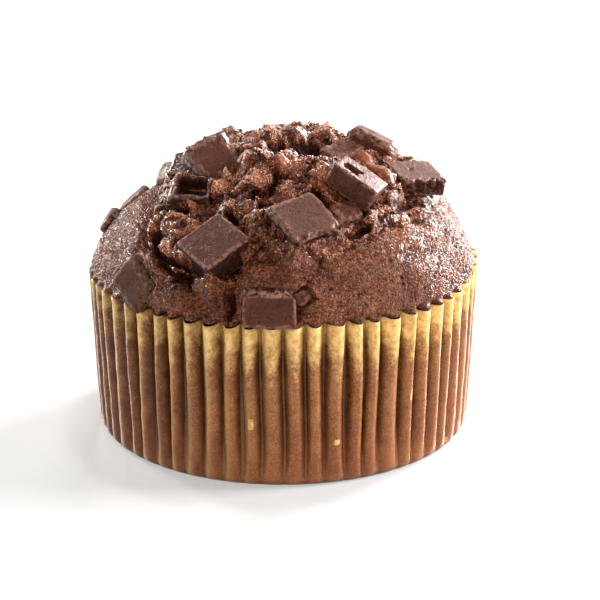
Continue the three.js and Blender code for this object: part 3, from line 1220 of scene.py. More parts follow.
CHUNKS: tuple[Chunk, ...] = (
    Chunk("chunk_front_left", (-13.2, -31.6, 48.2), (-27, 57), -30, (10.4, 10.4, 5.5), bank=2.3),
    Chunk(
        "chunk_centre", (4.3, -30.4, 52.7), (20, 62), -73, (11, 11, 4.6),
        Form.CHIPPED, 1.1, bank=2.2,
    ),
    Chunk("chunk_rim_front", (-2.4, -39.4, 37.2), (-3, 14), 0, (10.2, 7.6, 4.5), Form.CHAMFERED),
    Chunk(
        "chunk_rim_left", (-29.4, -26.4, 37.8), (-46, 20), -28, (10.6, 8.0, 4),
        Form.SOFT, 1.7, coat=Coat.DARK,
    ),
    Chunk(
        "chunk_top_left", (-13.4, -7.8, 57.8), (10, 40), 27, (10.2, 10.6, 5.6),
        Form.SOFT, 2.0, coat=Coat.BRIGHT,
    ),
    Chunk(
        "chunk_hollow", (-18, -15.2, 54.6), (-22, 60), 8, (8.4, 7.4, 5),
        Form.HOLLOW, 0.6, 0.7, Coat.BRIGHT,
    ),
    Chunk("chunk_left_upper", (-20.6, -3.8, 55.9), (-45, 50), 20, (4.6, 5.4, 4), coat=Coat.BRIGHT),
    Chunk("chunk_left_lower", (-24, 0.6, 52.8), (-55, 45), 20, (5, 5.6, 4.2), Form.SOFT, 1.3),
    Chunk("chunk_far_left", (-36.5, 1.6, 42.6), (-92, 34), 8, (6.4, 5, 3.5), Form.SOFT, 1),
    Chunk("chunk_left_shoulder", (-31.6, 6.6, 45.5), (-96, 48), 5, (6.4, 7, 4), Form.SOFT, 0.9),
    Chunk("chunk_top_right", (19.2, 0.4, 60.8), (70, 68), 90, (10.8, 6.8, 5.4), Form.RIDGE, 1.6, 1.0),
    Chunk("chunk_brick", (15.4, -18.6, 57.6), (69, 60), 90, (10.2, 7, 4.8), Form.BRICK, 0.5, 0.9),
    Chunk("chunk_far_right", (26.7, -7.2, 55), (46, 76), -23, (9.8, 8.7, 3.6), Form.BROKEN, 0.5, 0.5),
    Chunk("chunk_buried", (12.8, -23.6, 51.6), (20, 45), 15, (6, 5, 3), Form.MELTED, 1.2),
    Chunk("chunk_top_smear", (12.2, -4.2, 58.9), (30, 60), 12, (9, 5, 2.6), Form.MELTED, 1.1),
    Chunk("chunk_rim_small", (4.1, -37.4, 38.7), (8, 30), 32, (3.2, 2.9, 2.4), Form.MELTED, 0.9),
    Chunk("chunk_back_left", (-17.5, 22.5, 51.4), (-142, 48), 24, (10.2, 9.8, 5)),
    Chunk("chunk_back_right", (21.4, 22, 51), (134, 50), -32, (10.4, 9.6, 5), Form.CHIPPED),
    Chunk("chunk_back_top", (2.4, 22.6, 55), (172, 54), 12, (9.4, 8.2, 5), Form.BRICK),
    Chunk("chunk_back_rim", (9.8, 36, 42.6), (165, 28), 38, (9.6, 9, 4)),
    Chunk("chunk_back_low", (-24.6, 27.4, 43.6), (-140, 30), -20, (8.6, 7.8, 4), Form.SOFT, 1.4),
    Chunk("chunk_right_low", (29.6, 22.4, 43.4), (127, 33), 28, (8.4, 7.4, 4)),
)


# ---- The cake ----


@dataclass(frozen=True)
class Stroke:
    """A line along the crumb, seen from above: half its width, and how strong it is."""

    line: tuple[Place, ...]
    width: float
    force: float

    def felt(self, x: Array, y: Array, stir: Array) -> Array:
        """How strongly the line is felt at places seen from above.

        Args:
            x: places seen from above.
            y: the same.
            stir: random numbers that fray its sides.

        Returns:
            Up to the whole of its force on the line, and 0 away from it.
        """
        nearest = np.full(len(x), 99.0)
        stops = self.line if len(self.line) > 1 else self.line * 2
        for (from_x, from_y), (to_x, to_y) in itertools.pairwise(stops):
            run_x, run_y = to_x - from_x, to_y - from_y
            along = (x - from_x) * run_x + (y - from_y) * run_y
            share = np.clip(along / max(run_x**2 + run_y**2, 1e-6), 0, 1)
            away = np.hypot(x - from_x - share * run_x, y - from_y - share * run_y)
            nearest = np.minimum(nearest, away)
        return self.force * (1 - smooth(0.25, 1.15, nearest / self.width + 0.35 * stir))


CUTS: tuple[Stroke, ...] = (
    Stroke(((-26.7, -19.9), (-25.6, -24), (-23.2, -27.4), (-20.8, -30)), 0.85, 2.2),
    Stroke(
        ((-20.8, -30), (-18.4, -32), (-16, -33.4), (-13.6, -34.2), (-11.2, -34.4), (-9.2, -33.8)),
        1.2,
        3.2,
    ),
    Stroke(((-27.2, -17.5), (-25.6, -16.4), (-22.4, -18.3), (-20.2, -18.8)), 0.9, 2.0),
    Stroke(((-26, -20), (-24.4, -23.4)), 1.3, 2.4),
    Stroke(((-11.3, -25), (-10.2, -26.9)), 0.8, 3.0),
    Stroke(((-5.7, -27.9), (-4, -31), (-1.4, -32.6), (0.6, -33)), 0.8, 1.6),
    Stroke(((1.3, -33.9), (2.8, -34.3), (6.1, -34)), 0.6, 0.8),
    Stroke(((4.8, -21), (6.5, -23.7), (7.9, -25), (9.6, -26)), 1.3, 3.0),
    Stroke(((11.7, -28.8), (13.2, -27.8), (15.3, -26)), 0.7, 1.6),
    Stroke(((-3, -5.6), (0.5, -3.8), (4, -2.4), (8, -2.8)), 2.6, 3.7),
    Stroke(((-3.6, -10.6), (-2.7, -7)), 0.9, 2.4),
    Stroke(((-6.9, -19.7), (-7.6, -22.4)), 0.85, 3.6),
    Stroke(((-11.6, -12.8),), 0.9, 3.2),
    Stroke(((21.2, -19.4), (22.8, -15.8), (24.2, -13.4)), 0.8, 1.3),
    Stroke(((-10.2, -36.9), (-9.9, -38.2)), 1.1, 1.8),
    Stroke(((2.6, -38.2), (3.2, -38.8)), 0.8, 1.4),
    Stroke(((-5.8, -24), (-3.8, -19.5), (-3.4, -17.4), (-3.1, -14.9)), 0.8, 2.0),
    Stroke(((6, 15), (8, 12)), 1.2, 2.6),
    Stroke(((-10, 16), (-8, 19)), 1.0, 2.6),
    Stroke(((20, 8), (22, 6)), 1.1, 2.4),
    Stroke(((-26, 12), (-22, 20), (-18, 24)), 1.0, 2.0),
    Stroke(((10, 27), (16, 26)), 1.0, 2.2),
)


@dataclass(frozen=True)
class DomeForm:
    """The baked top: a leaning dome with a crack between its middle and its crust.

    Each stop of the crack's line is an azimuth and a distance from the axis. Each lump is a
    place seen from above, a radius and a rise, which is below 0 for a hollow.
    """

    radius: float = 39.3
    foot: float = 34.0
    rise: float = 25.0
    fullness: float = 1.22
    lean: float = 2.0
    calm_edge: float = 0.12
    crack_width: float = 1.5
    crack_depth: float = 1.4
    middle_lift: float = 0.6
    middle_crags: float = 1.5
    crust_waves: float = 0.35
    crack_line: tuple[Place, ...] = (
        (-165, 27), (-140, 30), (-115, 28), (-88, 25.5), (-68, 28.5), (-50, 34.8),
        (-36, 36), (-22, 37), (-8, 33.5), (4, 34.5), (20, 33.2), (40, 31.2),
        (60, 30.5), (85, 31), (110, 28.5), (140, 30.5), (170, 26),
    )
    lumps: tuple[tuple[float, float, float, float], ...] = (
        (4, -15.5, 4.6, 2.4), (-6, -10, 6, 1.9), (-9, 0, 6, 1.3), (-7, 13, 4, 1.2), (1, 8, 8, 0.7),
        (11, 3, 5, 1.1), (19, -8, 4, 1.1), (20, -18, 4.5, 1), (-1.5, -34.2, 4.2, 1.3),
        (-9, -35.5, 4, 0.7), (26, 1, 5, 1.2), (14, 18, 6, 0.7), (-4, 22, 7, 0.4),
        (-17, 13, 6, 1.2), (-29, 8, 6, -4.6), (-22.6, -13.4, 2, 1.5), (-15.6, -11, 2.2, -1.8),
        (-17, -19.6, 2, -1), (-5.2, -20.2, 1.5, -2.2), (-10.3, -13.3, 1.4, -2),
        (3.6, -7, 3.4, -2.2), (8, -5.6, 2.6, -1.6), (10.6, -24.2, 2.4, -2.4),
        (-4.6, -28.4, 2.4, -1.2), (-25.2, -21, 1.5, -1.6), (-22.8, -24, 3.4, 1.4),
        (-16, -32.4, 2.6, -0.5), (3.5, -34.2, 2.6, -0.4), (24.6, -16.8, 2.2, -2),
        (-9.2, -37.8, 1.6, -1.3), (6, 15, 2.6, -1.8), (-10, 16, 2.4, -1.6),
        (20, 8, 2.4, -1.5), (0.5, -9.4, 2.8, -1.3), (2, 3.5, 4, 0.8), (-14.4, -36, 2.4, -1.1),
    )

    def merge(self, azimuth: Array) -> Array:
        """How far the middle and the crust run into each other, from 0 to 1."""
        return smooth(2, 22, azimuth) * (1 - smooth(80, 105, azimuth))

    def crack_at(self, azimuth: Array) -> Array:
        """Finds the crack.

        Args:
            azimuth: degrees.

        Returns:
            Its distance from the axis.
        """
        at, reach = (np.array(row, float) for row in zip(*self.crack_line))
        at, reach = np.append(at, at[0] + 360), np.append(reach, reach[0])
        turned = np.where(azimuth < at[0], azimuth + 360, azimuth)
        before = np.clip(np.searchsorted(at, turned, side="right") - 1, 0, len(at) - 2)
        share = smooth(0, 1, (turned - at[before]) / (at[before + 1] - at[before]))
        return blend(reach[before], reach[before + 1], share)

    def outward(self, x: Array, y: Array) -> Array:
        """How far outside the crack a place seen from above is."""
        return np.hypot(x, y) - self.crack_at(azimuth_of(x, y))

    def swell(self, x: Array, y: Array) -> Array:
        """Adds up the lumps and hollows.

        Args:
            x: places seen from above.
            y: the same.

        Returns:
            Their height over the plain dome.
        """
        total = np.zeros(len(x))
        for at_x, at_y, radius, rise in self.lumps:
            away = ((x - at_x) ** 2 + (y - at_y) ** 2) / radius**2
            total += rise * np.exp(-away)
        return total

    def cuts(self, x: Array, y: Array, place: Array) -> Array:
        """How deep the crevices are; place is where x and y lie on the dome."""
        stir = Grain.layered(place, 1.6, 2, 50)
        return np.max([cut.felt(x, y, stir) for cut in CUTS], axis=0)

    def lip(self, x: Array, y: Array) -> Array:
        """Rolls up the edge of the crust beside the crack.

        Args:
            x: places seen from above.
            y: the same.

        Returns:
            Its height, highest at the front left.
        """
        azimuth = azimuth_of(x, y)
        front = smooth(-52, -38, azimuth) * (1 - smooth(-30, -16, azimuth))
        away = (self.outward(x, y) - 3.0) / 1.7
        return (0.25 + 0.85 * front) * np.exp(-away * away)

    def base(self, x: Array, y: Array) -> tuple[Array, Array]:
        """Places points on the plain dome.

        Args:
            x: place seen from above, before the dome leans.
            y: the same.

        Returns:
            Points on the dome, and the way out from it at each.
        """
        flat_x, flat_y = x / self.radius, y / self.radius
        up = np.sqrt(np.maximum(1 - flat_x**2 - flat_y**2, 0))
        rise = up**self.fullness
        out = unit(np.stack([flat_x, flat_y, up * self.radius / self.rise], -1))
        place = np.stack([x + self.lean * rise, y, self.foot + self.rise * rise], -1)
        return place, out

    def calm(self, x: Array, y: Array) -> Array:
        """0 at the foot of the crust, 1 further up."""
        flat = np.hypot(x, y) / self.radius
        return smooth(0, self.calm_edge, np.sqrt(np.maximum(1 - flat**2, 0)))


# How high the crumb may stand over a chunk's outer face: under it, under the open one and
# beside it.
CHUNK_FLOOR = -1.6
HOLLOW_FLOOR = -4.4
MOAT_FLOOR = -1.3


def loose_crumb(place: Array) -> Array:
    """How proud the crumb looks that is banked against a chunk."""
    return np.clip(0.5 + 0.4 * Grain.layered(place, 0.9, 2, 56), 0, 1)


def make_room(points: Array, deep: Array, moat: float = 0.5) -> tuple[Array, Array]:
    """Pushes crumb down out of the chunks, and banks it against those that have a bank.

    Args:
        points: the crumb's surface in millimetres.
        deep: depth of the crevices, which no bank fills.
        moat: width of the dip round each chunk.

    Returns:
        The surface with room for the chunks, and how far each point is banked from 0 to 1.
    """
    room = points.copy()
    for chunk in CHUNKS:
        spot = chunk.local(room)
        half = np.array(chunk.size) / 2
        past = np.maximum(np.abs(spot[:, 0]) - half[0], np.abs(spot[:, 1]) - half[1])
        if chunk.bank:
            banked = chunk.bank * (1 - 0.6 * smooth(0.5, 1.0, -spot[:, 1] / half[1]))
            climb = 0.5 * Grain.layered(room, 1.3, 3, 55) - banked
            climb = climb - 1.2 * np.maximum(past, 0) - 2 * deep
            beside = (past < 2.6) & (spot[:, 2] > -2 * half[2] - 4)
            lifted = np.where(beside, np.maximum(spot[:, 2], climb), spot[:, 2])
            room = room + (lifted - spot[:, 2])[:, None] * chunk.axes()[2]
            spot[:, 2] = lifted
        near = (past < moat) & (spot[:, 2] > -2 * half[2] - 1) & (spot[:, 2] < 4)
        under = HOLLOW_FLOOR if chunk.form is Form.HOLLOW else CHUNK_FLOOR
        ceiling = np.where(past < 0, under, MOAT_FLOOR + 1.5 * smooth(0.0, moat, past))
        moved = spot.copy()
        moved[:, 2] = np.minimum(spot[:, 2], ceiling)
        change = (moved - spot) @ chunk.axes()
        room = room + np.where(near[:, None], change, 0)
    return room, smooth(0.3, 1.2, room[:, 2] - points[:, 2])


@dataclass
class RisenMiddle:
    """The torn, craggy middle of the top, which has risen through the crust."""

    dome: DomeForm
    cells: int = 300
    overlap: float = 1.0
    edge_drop: float = 2.6
    skirt: float = 3.0
    smears: tuple[Stroke, ...] = (
        Stroke(((-2, -13.4),), 2.0, 1.0),
        Stroke(((12.6, -5.4), (14.6, -6.6), (16.8, -9), (18.9, -12.3)), 1.5, 1.0),
    )

    def crumb(self, place: Array, x: Array, y: Array) -> Array:
        """Works out the torn crumb: mounds with sharp creases, folds, grains and pores.

        Args:
            place: points on the plain dome.
            x: the same, seen from above before the dome leans.
            y: the same.

        Returns:
            Its height over the dome.
        """
        bend = Grain.drift(place, 3.3, 40)
        bent = place + 0.8 * bend
        mounds = np.abs(Grain.swells(bent, 5.2, 44))
        folds = np.abs(Grain.swells(bent, 2.4, 45))
        outward = self.dome.outward(x, y)
        azimuth = azimuth_of(x, y)
        sheet = np.stack([outward + 0.8 * bend[:, 0], azimuth / 9, 0 * x], -1)
        right = smooth(-4, 12, azimuth) * (1 - smooth(70, 95, azimuth)) * smooth(-13, -8, outward)
        strata = np.abs(Grain.swells(sheet, 2.3, 52)) - 0.3
        curds = np.abs(Grain.swells(bent, 1.25, 48))
        grain, _ = Grain.nests(bent, 0.62, 46)
        pore, mark = Grain.nests(place + 0.5 * bend, 1.7, 47)
        pores = (1 - smooth(0.1, 0.3, pore)) * (mark > 0.8)
        height = 1.5 * (mounds - 0.28) * (1 - 0.6 * right) + 0.8 * (folds - 0.28)
        height = height + 1.3 * strata * right + 0.34 * (curds - 0.28)
        return height + 0.26 * (0.45 - grain) - 0.7 * pores

    def lump(self) -> Piece:
        """Makes a square net with a skirt that closes it below.

        Returns:
            The piece, from -1 to 1 each way, with its skirt's hem at -1.
        """
        net = bmesh.new()
        bmesh.ops.create_grid(net, x_segments=self.cells, y_segments=self.cells, size=1)
        rim = [edge for edge in net.edges if edge.is_boundary]
        skirt = bmesh.ops.extrude_edge_only(net, edges=rim)["geom"]
        hem = [edge for edge in skirt if isinstance(edge, bmesh.types.BMEdge) and edge.is_boundary]
        for vertex in {vertex for edge in hem for vertex in edge.verts}:
            vertex.co.z = -1
        bmesh.ops.contextual_create(net, geom=hem)
        return finish_net(net, "risen_middle")

    def plan(self, flat: Array) -> tuple[Array, Array]:
        """Carries a square from -1 to 1 to the middle's own outline, a little past the crack.

        Args:
            flat: points on the square.

        Returns:
            Their places seen from above, along each axis.
        """
        u, v = flat[:, 0], flat[:, 1]
        disc_x = u * np.sqrt(1 - v * v / 2)
        disc_y = v * np.sqrt(1 - u * u / 2)
        reach = self.dome.crack_at(azimuth_of(disc_x, disc_y)) + self.overlap
        return disc_x * reach, disc_y * reach

    def build(self, material: Material, shade_lining: Material) -> Piece:
        """Makes the middle as a closed lump that sits in the crust.

        Args:
            material: the torn crumb.
            shade_lining: the darker, duller material painted into its hollows as shade.

        Returns:
            The middle as one piece.
        """
        piece = self.lump()
        flat = points_of(piece.data) * MM
        x, y = self.plan(flat)
        place, out = self.dome.base(x, y)
        outward = self.dome.outward(x, y)
        inner = 1 - smooth(-3, 0, outward)
        stir = 0.3 * Grain.layered(place, 2.2, 2, 49)
        smear = np.max([stroke.felt(x, y, stir) for stroke in self.smears], axis=0)
        deep = self.dome.cuts(x, y, place)
        stirred = 1 - 0.7 * smooth(0.4, 2.4, deep)
        crumb = blend(self.crumb(place, x, y), 0.3, smear)
        crags = self.dome.middle_crags * Grain.hills(x, y, 4) * stirred
        height = inner * (self.dome.middle_lift + crags)
        height += self.dome.swell(x, y) + crumb * (0.55 + 0.45 * inner) * stirred
        height += 0.7 * smear - deep
        drop = self.edge_drop * (1 - 0.45 * self.dome.merge(azimuth_of(x, y)))
        height -= drop * smooth(-0.6, self.overlap, outward)
        free = place + out * height[:, None] + 0.25 * Grain.drift(place, 1.6, 60) * inner[:, None]
        points, banked = make_room(free, deep)
        under = flat[:, 2] < -0.5
        points[under] -= self.skirt * out[under]
        place_points(piece.data, points)
        # proud falls where the crumb is low and in the crevices, and the finishes paint it darker there
        # as shade.
        proud = np.clip(0.54 + 0.5 * crumb, 0.24, 1) * (1 - 0.85 * smooth(0.3, 1.8, deep))
        proud = blend(proud, loose_crumb(place), banked)
        add_values(piece.data, "proud", proud * 0.85)
        add_values(piece.data, "smear", smear)
        piece.data.materials.append(material)
        # Faces in the lowest places take the darker lining, as painted shade.
        shade_hollows(piece.data, proud < 0.41, shade_lining)
        attach(piece, "chocolate_crumb", "cake")
        return piece


@dataclass
class Crust:
    """The smooth outer crust, from under the middle down inside the pleats.

    Below the dome it has rings at the heights given, the first of them behind the paper's rim.
    """

    dome: DomeForm
    case: PaperCase
    steps: int = 900
    rings: int = 84
    tuck: float = 3.0
    roof: float = 40.0
    ease: float = 0.12
    loose_gap: float = 0.7
    floor: float = 0.8
    lap: float = 32.95
    below: tuple[float, ...] = (33.75, 33.5, 33.2, 32.9, 32.2, 30, 24, 12, 6, 2)

    def skin(self, place: Array) -> Array:
        """Works out the crust's fine grain and small pores.

        Args:
            place: points on the plain dome.

        Returns:
            Their height over the crust.
        """
        grain, _ = Grain.nests(place, 0.8, 70)
        pore, mark = Grain.nests(place, 2.2, 71)
        pores = (1 - smooth(0.08, 0.26, pore)) * (mark > 0.55)
        soft = 0.2 * Grain.layered(place, 5.0, 2, 72) + 0.07 * Grain.layered(place, 1.5, 2, 74)
        return soft + 0.22 * (0.45 - grain) - 0.35 * pores

    def groove(self, azimuth: Array) -> Array:
        """Depth of the crack, which fades where the crust and the middle merge."""
        return self.dome.crack_depth * (1 - 0.8 * self.dome.merge(azimuth))

    def rise(self, x: Array, y: Array, azimuth: Array, skin: Array, deep: Array) -> Array:
        """Works out the crust's height over the plain dome.

        Args:
            x: places seen from above, before the dome leans.
            y: the same.
            azimuth: the same places in degrees.
            skin: height of the fine grain.
            deep: depth of the crevices.

        Returns:
            The height, which calms down towards the paper.
        """
        outward = self.dome.outward(x, y)
        height = self.dome.crust_waves * Grain.hills(x, y, 9) + self.dome.swell(x, y)
        height -= self.groove(azimuth) * np.exp(-((outward / self.dome.crack_width) ** 2))
        height -= 2.4 * (1 - smooth(-2.2, 0.2, outward))
        sheet = np.stack([outward, azimuth / 12, 0 * outward], -1) + 0.5 * skin[:, None]
        folds = np.abs(Grain.swells(sheet, 1.9, 53)) - 0.25
        height += 0.7 * folds * self.dome.merge(azimuth) * (1 - smooth(0.5, 7, outward))
        height += self.dome.lip(x, y) - deep
        calm = self.dome.calm(x, y)
        return height * calm + skin * (0.35 + 0.65 * calm)

    def sunk(self, ring: Array, azimuth: Array) -> Array:
        """Places the rings below the dome's foot, down inside the pleats to the floor.

        Args:
            ring: number of each point's ring.
            azimuth: degrees.

        Returns:
            The points; those of higher rings are of no use.
        """
        turn = np.radians(azimuth)
        depths = np.array([self.floor, self.floor, *self.below[::-1]])
        down = depths[np.clip(ring, 0, len(depths) - 1)]
        inside = self.case.clear_reach(down)
        inside = np.where(ring == 0, 0, np.where(ring == 1, inside - 2, inside))
        lapped = self.meet_paper(around(self.dome.radius, turn, down), azimuth)
        return np.where((down > self.lap)[:, None], lapped, around(inside, turn, down))

    def build(self, material: Material, shade_lining: Material) -> Piece:
        """Makes the crust and the part of the cake inside the case.

        Args:
            material: the baked crust.
            shade_lining: the darker, duller material painted into its hollows as shade.

        Returns:
            The crust as one piece.
        """
        below = len(self.below)
        total = self.rings + below + 4
        net = RoundNet("crust", total, self.steps)
        azimuth = (net.step * 360 / self.steps + 180) % 360 - 180
        turn = np.radians(azimuth)
        dome_share = np.clip((net.ring - below - 2) / (self.rings - 1), 0, 1)
        inner = np.maximum(self.dome.crack_at(azimuth) - self.tuck, 1)
        tilt = blend(math.pi / 2 + 0 * inner, np.arcsin(inner / self.dome.radius), dome_share)
        reach = self.dome.radius * np.sin(tilt)
        x, y = reach * np.sin(turn), -reach * np.cos(turn)
        place, out = self.dome.base(x, y)
        skin = self.skin(place)
        deep = self.dome.cuts(x, y, place)
        height = self.rise(x, y, azimuth, skin, deep)
        free = self.meet_paper(place + out * height[:, None], azimuth)
        points, banked = make_room(free, deep)
        lower = net.ring < below + 2
        points[lower] = self.sunk(net.ring, azimuth)[lower]
        cap = np.where(net.ring == total - 1, 0.0, 0.6) * inner
        top = net.ring >= total - 2
        points[top] = around(cap, turn, self.roof + 0 * cap)[top]
        place_points(net.piece.data, points)
        outward = self.dome.outward(x, y)
        # The crack counts as deep too, so that the finish paints it darker as shade, like the crevices
        # and pores.
        deep = deep + self.groove(azimuth) * np.exp(-((outward / 1.2) ** 2))
        proud = np.clip(0.55 + 0.9 * skin, 0, 1) * (1 - 0.7 * smooth(0.4, 2.0, deep))
        proud = blend(proud, loose_crumb(place), banked)
        add_values(net.piece.data, "proud", np.where(lower, 0.45, proud))
        add_values(net.piece.data, "smear", 0 * proud)
        net.piece.data.materials.append(material)
        # Faces in the lowest places take the darker lining, as painted shade.
        shade_hollows(net.piece.data, proud < 0.3, shade_lining)
        attach(net.piece, "chocolate_crumb", "cake")
        return net.piece

    def meet_paper(self, points: Array, azimuth: Array) -> Array:
        """Fits the foot of the crust into the pleats of the paper.

        Args:
            points: the crust's points.
            azimuth: their azimuths in degrees.

        Returns:
            The points, drawn in where the paper holds them.
        """
        own_reach = np.hypot(points[:, 0], points[:, 1])
        rim, _ = self.case.radius(azimuth, np.full(len(points), self.case.rim_height))
        gap = self.loose_gap * self.case.loose(azimuth, 12)
        inner = rim - self.case.paper - self.ease - gap
        reach = blend(inner, own_reach - gap, smooth(33.1, 34.5, points[:, 2]))
        fitted = points.copy()
        fitted[:, 0] *= reach / own_reach
        fitted[:, 1] *= reach / own_reach
        return fitted


@dataclass(frozen=True)
class Crumbs:
    """Grains and loose crumbs that sit on the sponge, two to the power of their doublings."""

    name: str
    doublings: int
    small: float
    large: float
    seed: int
    faceting: int = 0
    sunk: float = 0.15
    least_proud: float = 0.3
    least_rise: float = 0.1
    foot: float = 34.3
    hole: float = 0.0
    bare_patches: float = -9.0
    front_share: float = 1.0

    def clear(self, places: Array) -> Array:
        """Finds where a crumb may lie.

        Args:
            places: points of the sponge in millimetres.

        Returns:
            Whether each is above the foot, outside the hole, and clear of chunks and bare patches.
        """
        free = Grain.swells(places, 4.2, 90) > self.bare_patches
        for chunk in CHUNKS:
            spot = chunk.local(places)
            half = np.array(chunk.size) / 2 + 0.2
            within = (np.abs(spot[:, 0]) < half[0]) & (np.abs(spot[:, 1]) < half[1])
            free &= ~(within & (spot[:, 2] > -6))
        reach = np.hypot(places[:, 0] - 1, places[:, 1])
        return free & (places[:, 2] > self.foot) & (reach > self.hole)

    def grains(self) -> tuple[Piece, Array]:
        """Makes all the crumbs by doubling one.

        Returns:
            The piece, and the vertices of one crumb of a width of about 1.
        """
        net = bmesh.new()
        if self.faceting:
            bmesh.ops.create_icosphere(net, subdivisions=self.faceting, radius=0.5)
        else:
            bmesh.ops.create_cube(net, size=0.72)
        grain = np.array([vertex.co for vertex in net.verts])
        for _ in range(self.doublings):
            everything = net.verts[:] + net.edges[:] + net.faces[:]
            bmesh.ops.duplicate(net, geom=everything)
        return finish_net(net, self.name), grain

    def build(self, ground: Piece, material: Material) -> Piece:
        """Scatters the crumbs over the proud parts of a surface.

        Args:
            ground: the piece that they lie on.
            material: their finish.

        Returns:
            The crumbs as one piece.
        """
        rng = np.random.default_rng(self.seed)
        mesh = ground.data
        places = points_of(mesh)
        normals = np.zeros(len(places) * 3, np.float32)
        mesh.vertices.foreach_get("normal", normals)
        normals = normals.reshape(-1, 3)
        proud = values_of(mesh, "proud")
        free = self.clear(places) & (values_of(mesh, "smear") < 0.25)
        free &= (proud > self.least_proud) & (normals[:, 2] > self.least_rise)
        count = 2**self.doublings
        chosen = rng.choice(np.flatnonzero(free), count, replace=False)
        piece, grain = self.grains()
        size = self.small + (self.large - self.small) * rng.random(count) ** 2
        beside = smooth(28, 62, np.abs(azimuth_of(places[chosen, 0], places[chosen, 1]) + 4))
        size = size * blend(self.front_share, 1.0, beside)
        turned = np.linalg.qr(rng.normal(size=(count, 3, 3)))[0]
        stretch = rng.uniform(0.65, 1.25, (count, 1, 3)) * size[:, None, None]
        centres = places[chosen] + normals[chosen] * size[:, None] * self.sunk
        points = ((grain * stretch) @ turned + centres[:, None]).reshape(-1, 3)
        rough = Grain.drift(points, 0.45, 80)
        place_points(piece.data, points + rough * 0.3 * self.small)
        # Each crumb keeps the proud of the spot it lies on, painted shade included, plus a random tone.
        own = proud[chosen] + rng.uniform(-0.3, 0.35, count)
        add_values(piece.data, "proud", np.repeat(np.clip(own, 0.2, 1), len(grain)))
        piece.data.materials.append(material)
        attach(piece, "chocolate_crumb")
        return piece


@dataclass
class Cake:
    """The sponge: its crust, its risen middle and the crumbs on it."""

    case: PaperCase
    dome: DomeForm = DomeForm()
    baked: CrumbFinish = CrumbFinish(
        "baked_crust", dark=tone(68, 30, 13), middle=tone(102, 50, 25), light=tone(160, 96, 62),
        grain=0.46, crown_highlight=0.2, speckle=0.27, dull_pits=0.12, cloud=0.03, wet_grain=0.9, gloss=0.2,
    )
    baked_grains: CrumbFinish = CrumbFinish(
        "baked_grains", dark=tone(76, 34, 18), middle=tone(110, 56, 32), light=tone(170, 106, 70),
        grain=0.5, grain_depth=0.12, speckle=0.1, dull_pits=0.0, gloss=0.21, mirror=0.56,
    )
    torn_grains: CrumbFinish = CrumbFinish(
        "torn_grains", pore=tone(44, 18, 9), dark=tone(74, 33, 17), middle=tone(136, 76, 47),
        light=tone(218, 158, 120), grain=0.5, grain_depth=0.08, speckle=0.1, dull_pits=0.0,
        gloss=0.17, mirror=0.62,
    )
    on_crust: tuple[Crumbs, ...] = (
        Crumbs(
            "crust_grains", 14, 0.22, 0.46, 7,
            sunk=-0.06, least_proud=0.4, least_rise=-0.3, hole=29, front_share=0.68,
        ),
        Crumbs(
            "crust_dust", 14, 0.16, 0.34, 9,
            sunk=0.0, least_proud=0.45, least_rise=-0.3, hole=29, front_share=0.8,
        ),
    )
    on_middle: Crumbs = Crumbs(
        "torn_grains", 14, 0.24, 0.5, 8,
        sunk=-0.04, least_proud=0.36, least_rise=-0.3, bare_patches=-0.06,
    )
    coarse: Crumbs = Crumbs("coarse_crumbs", 8, 0.5, 1.1, 6, 2)

    def build(self) -> None:
        """Makes all the sponge's pieces."""
        torn = CrumbFinish("torn_crumb").material()
        # A darker and duller copy of the crumb, painted into the hollows as shade.
        shade_lining = CrumbFinish(
            "painted_hollow_shade", pore=tone(30, 11, 5), dark=tone(50, 20, 9), gloss=0.4, mirror=0.08
        ).material()
        crust = Crust(self.dome, self.case).build(self.baked.material(), shade_lining)
        middle = RisenMiddle(self.dome).build(torn, shade_lining)
        baked_grains = self.baked_grains.material()
        for crumbs in self.on_crust:
            crumbs.build(crust, baked_grains)
        self.on_middle.build(middle, self.torn_grains.material())
        self.coarse.build(middle, torn)


# ---- Studio ----


@dataclass(frozen=True)
class Softbox:
    """A square soft light: where it stands, its side in metres and its power in watts."""

    name: str
    at: Point
    side: float
    power: float
    glints: bool = True
    fills: bool = True
    tint: Point = (1, 1, 1)
    aim: Point = (0, 0, 0.03)

    def build(self) -> None:
        """Hangs the light and turns it towards its aim."""
        lamp = bpy.data.lights.new(self.name, "AREA")
        lamp.shape = "SQUARE"
        lamp.size = self.side
        lamp.energy = self.power
        lamp.color = self.tint
        holder = bpy.data.objects.new(self.name, lamp)
        holder.location = self.at
        holder.rotation_euler = (Vector(self.aim) - Vector(self.at)).to_track_quat("-Z", "Y").to_euler()
        holder.visible_glossy = self.glints
        holder.visible_diffuse = self.fills
        bpy.context.scene.collection.objects.link(holder)


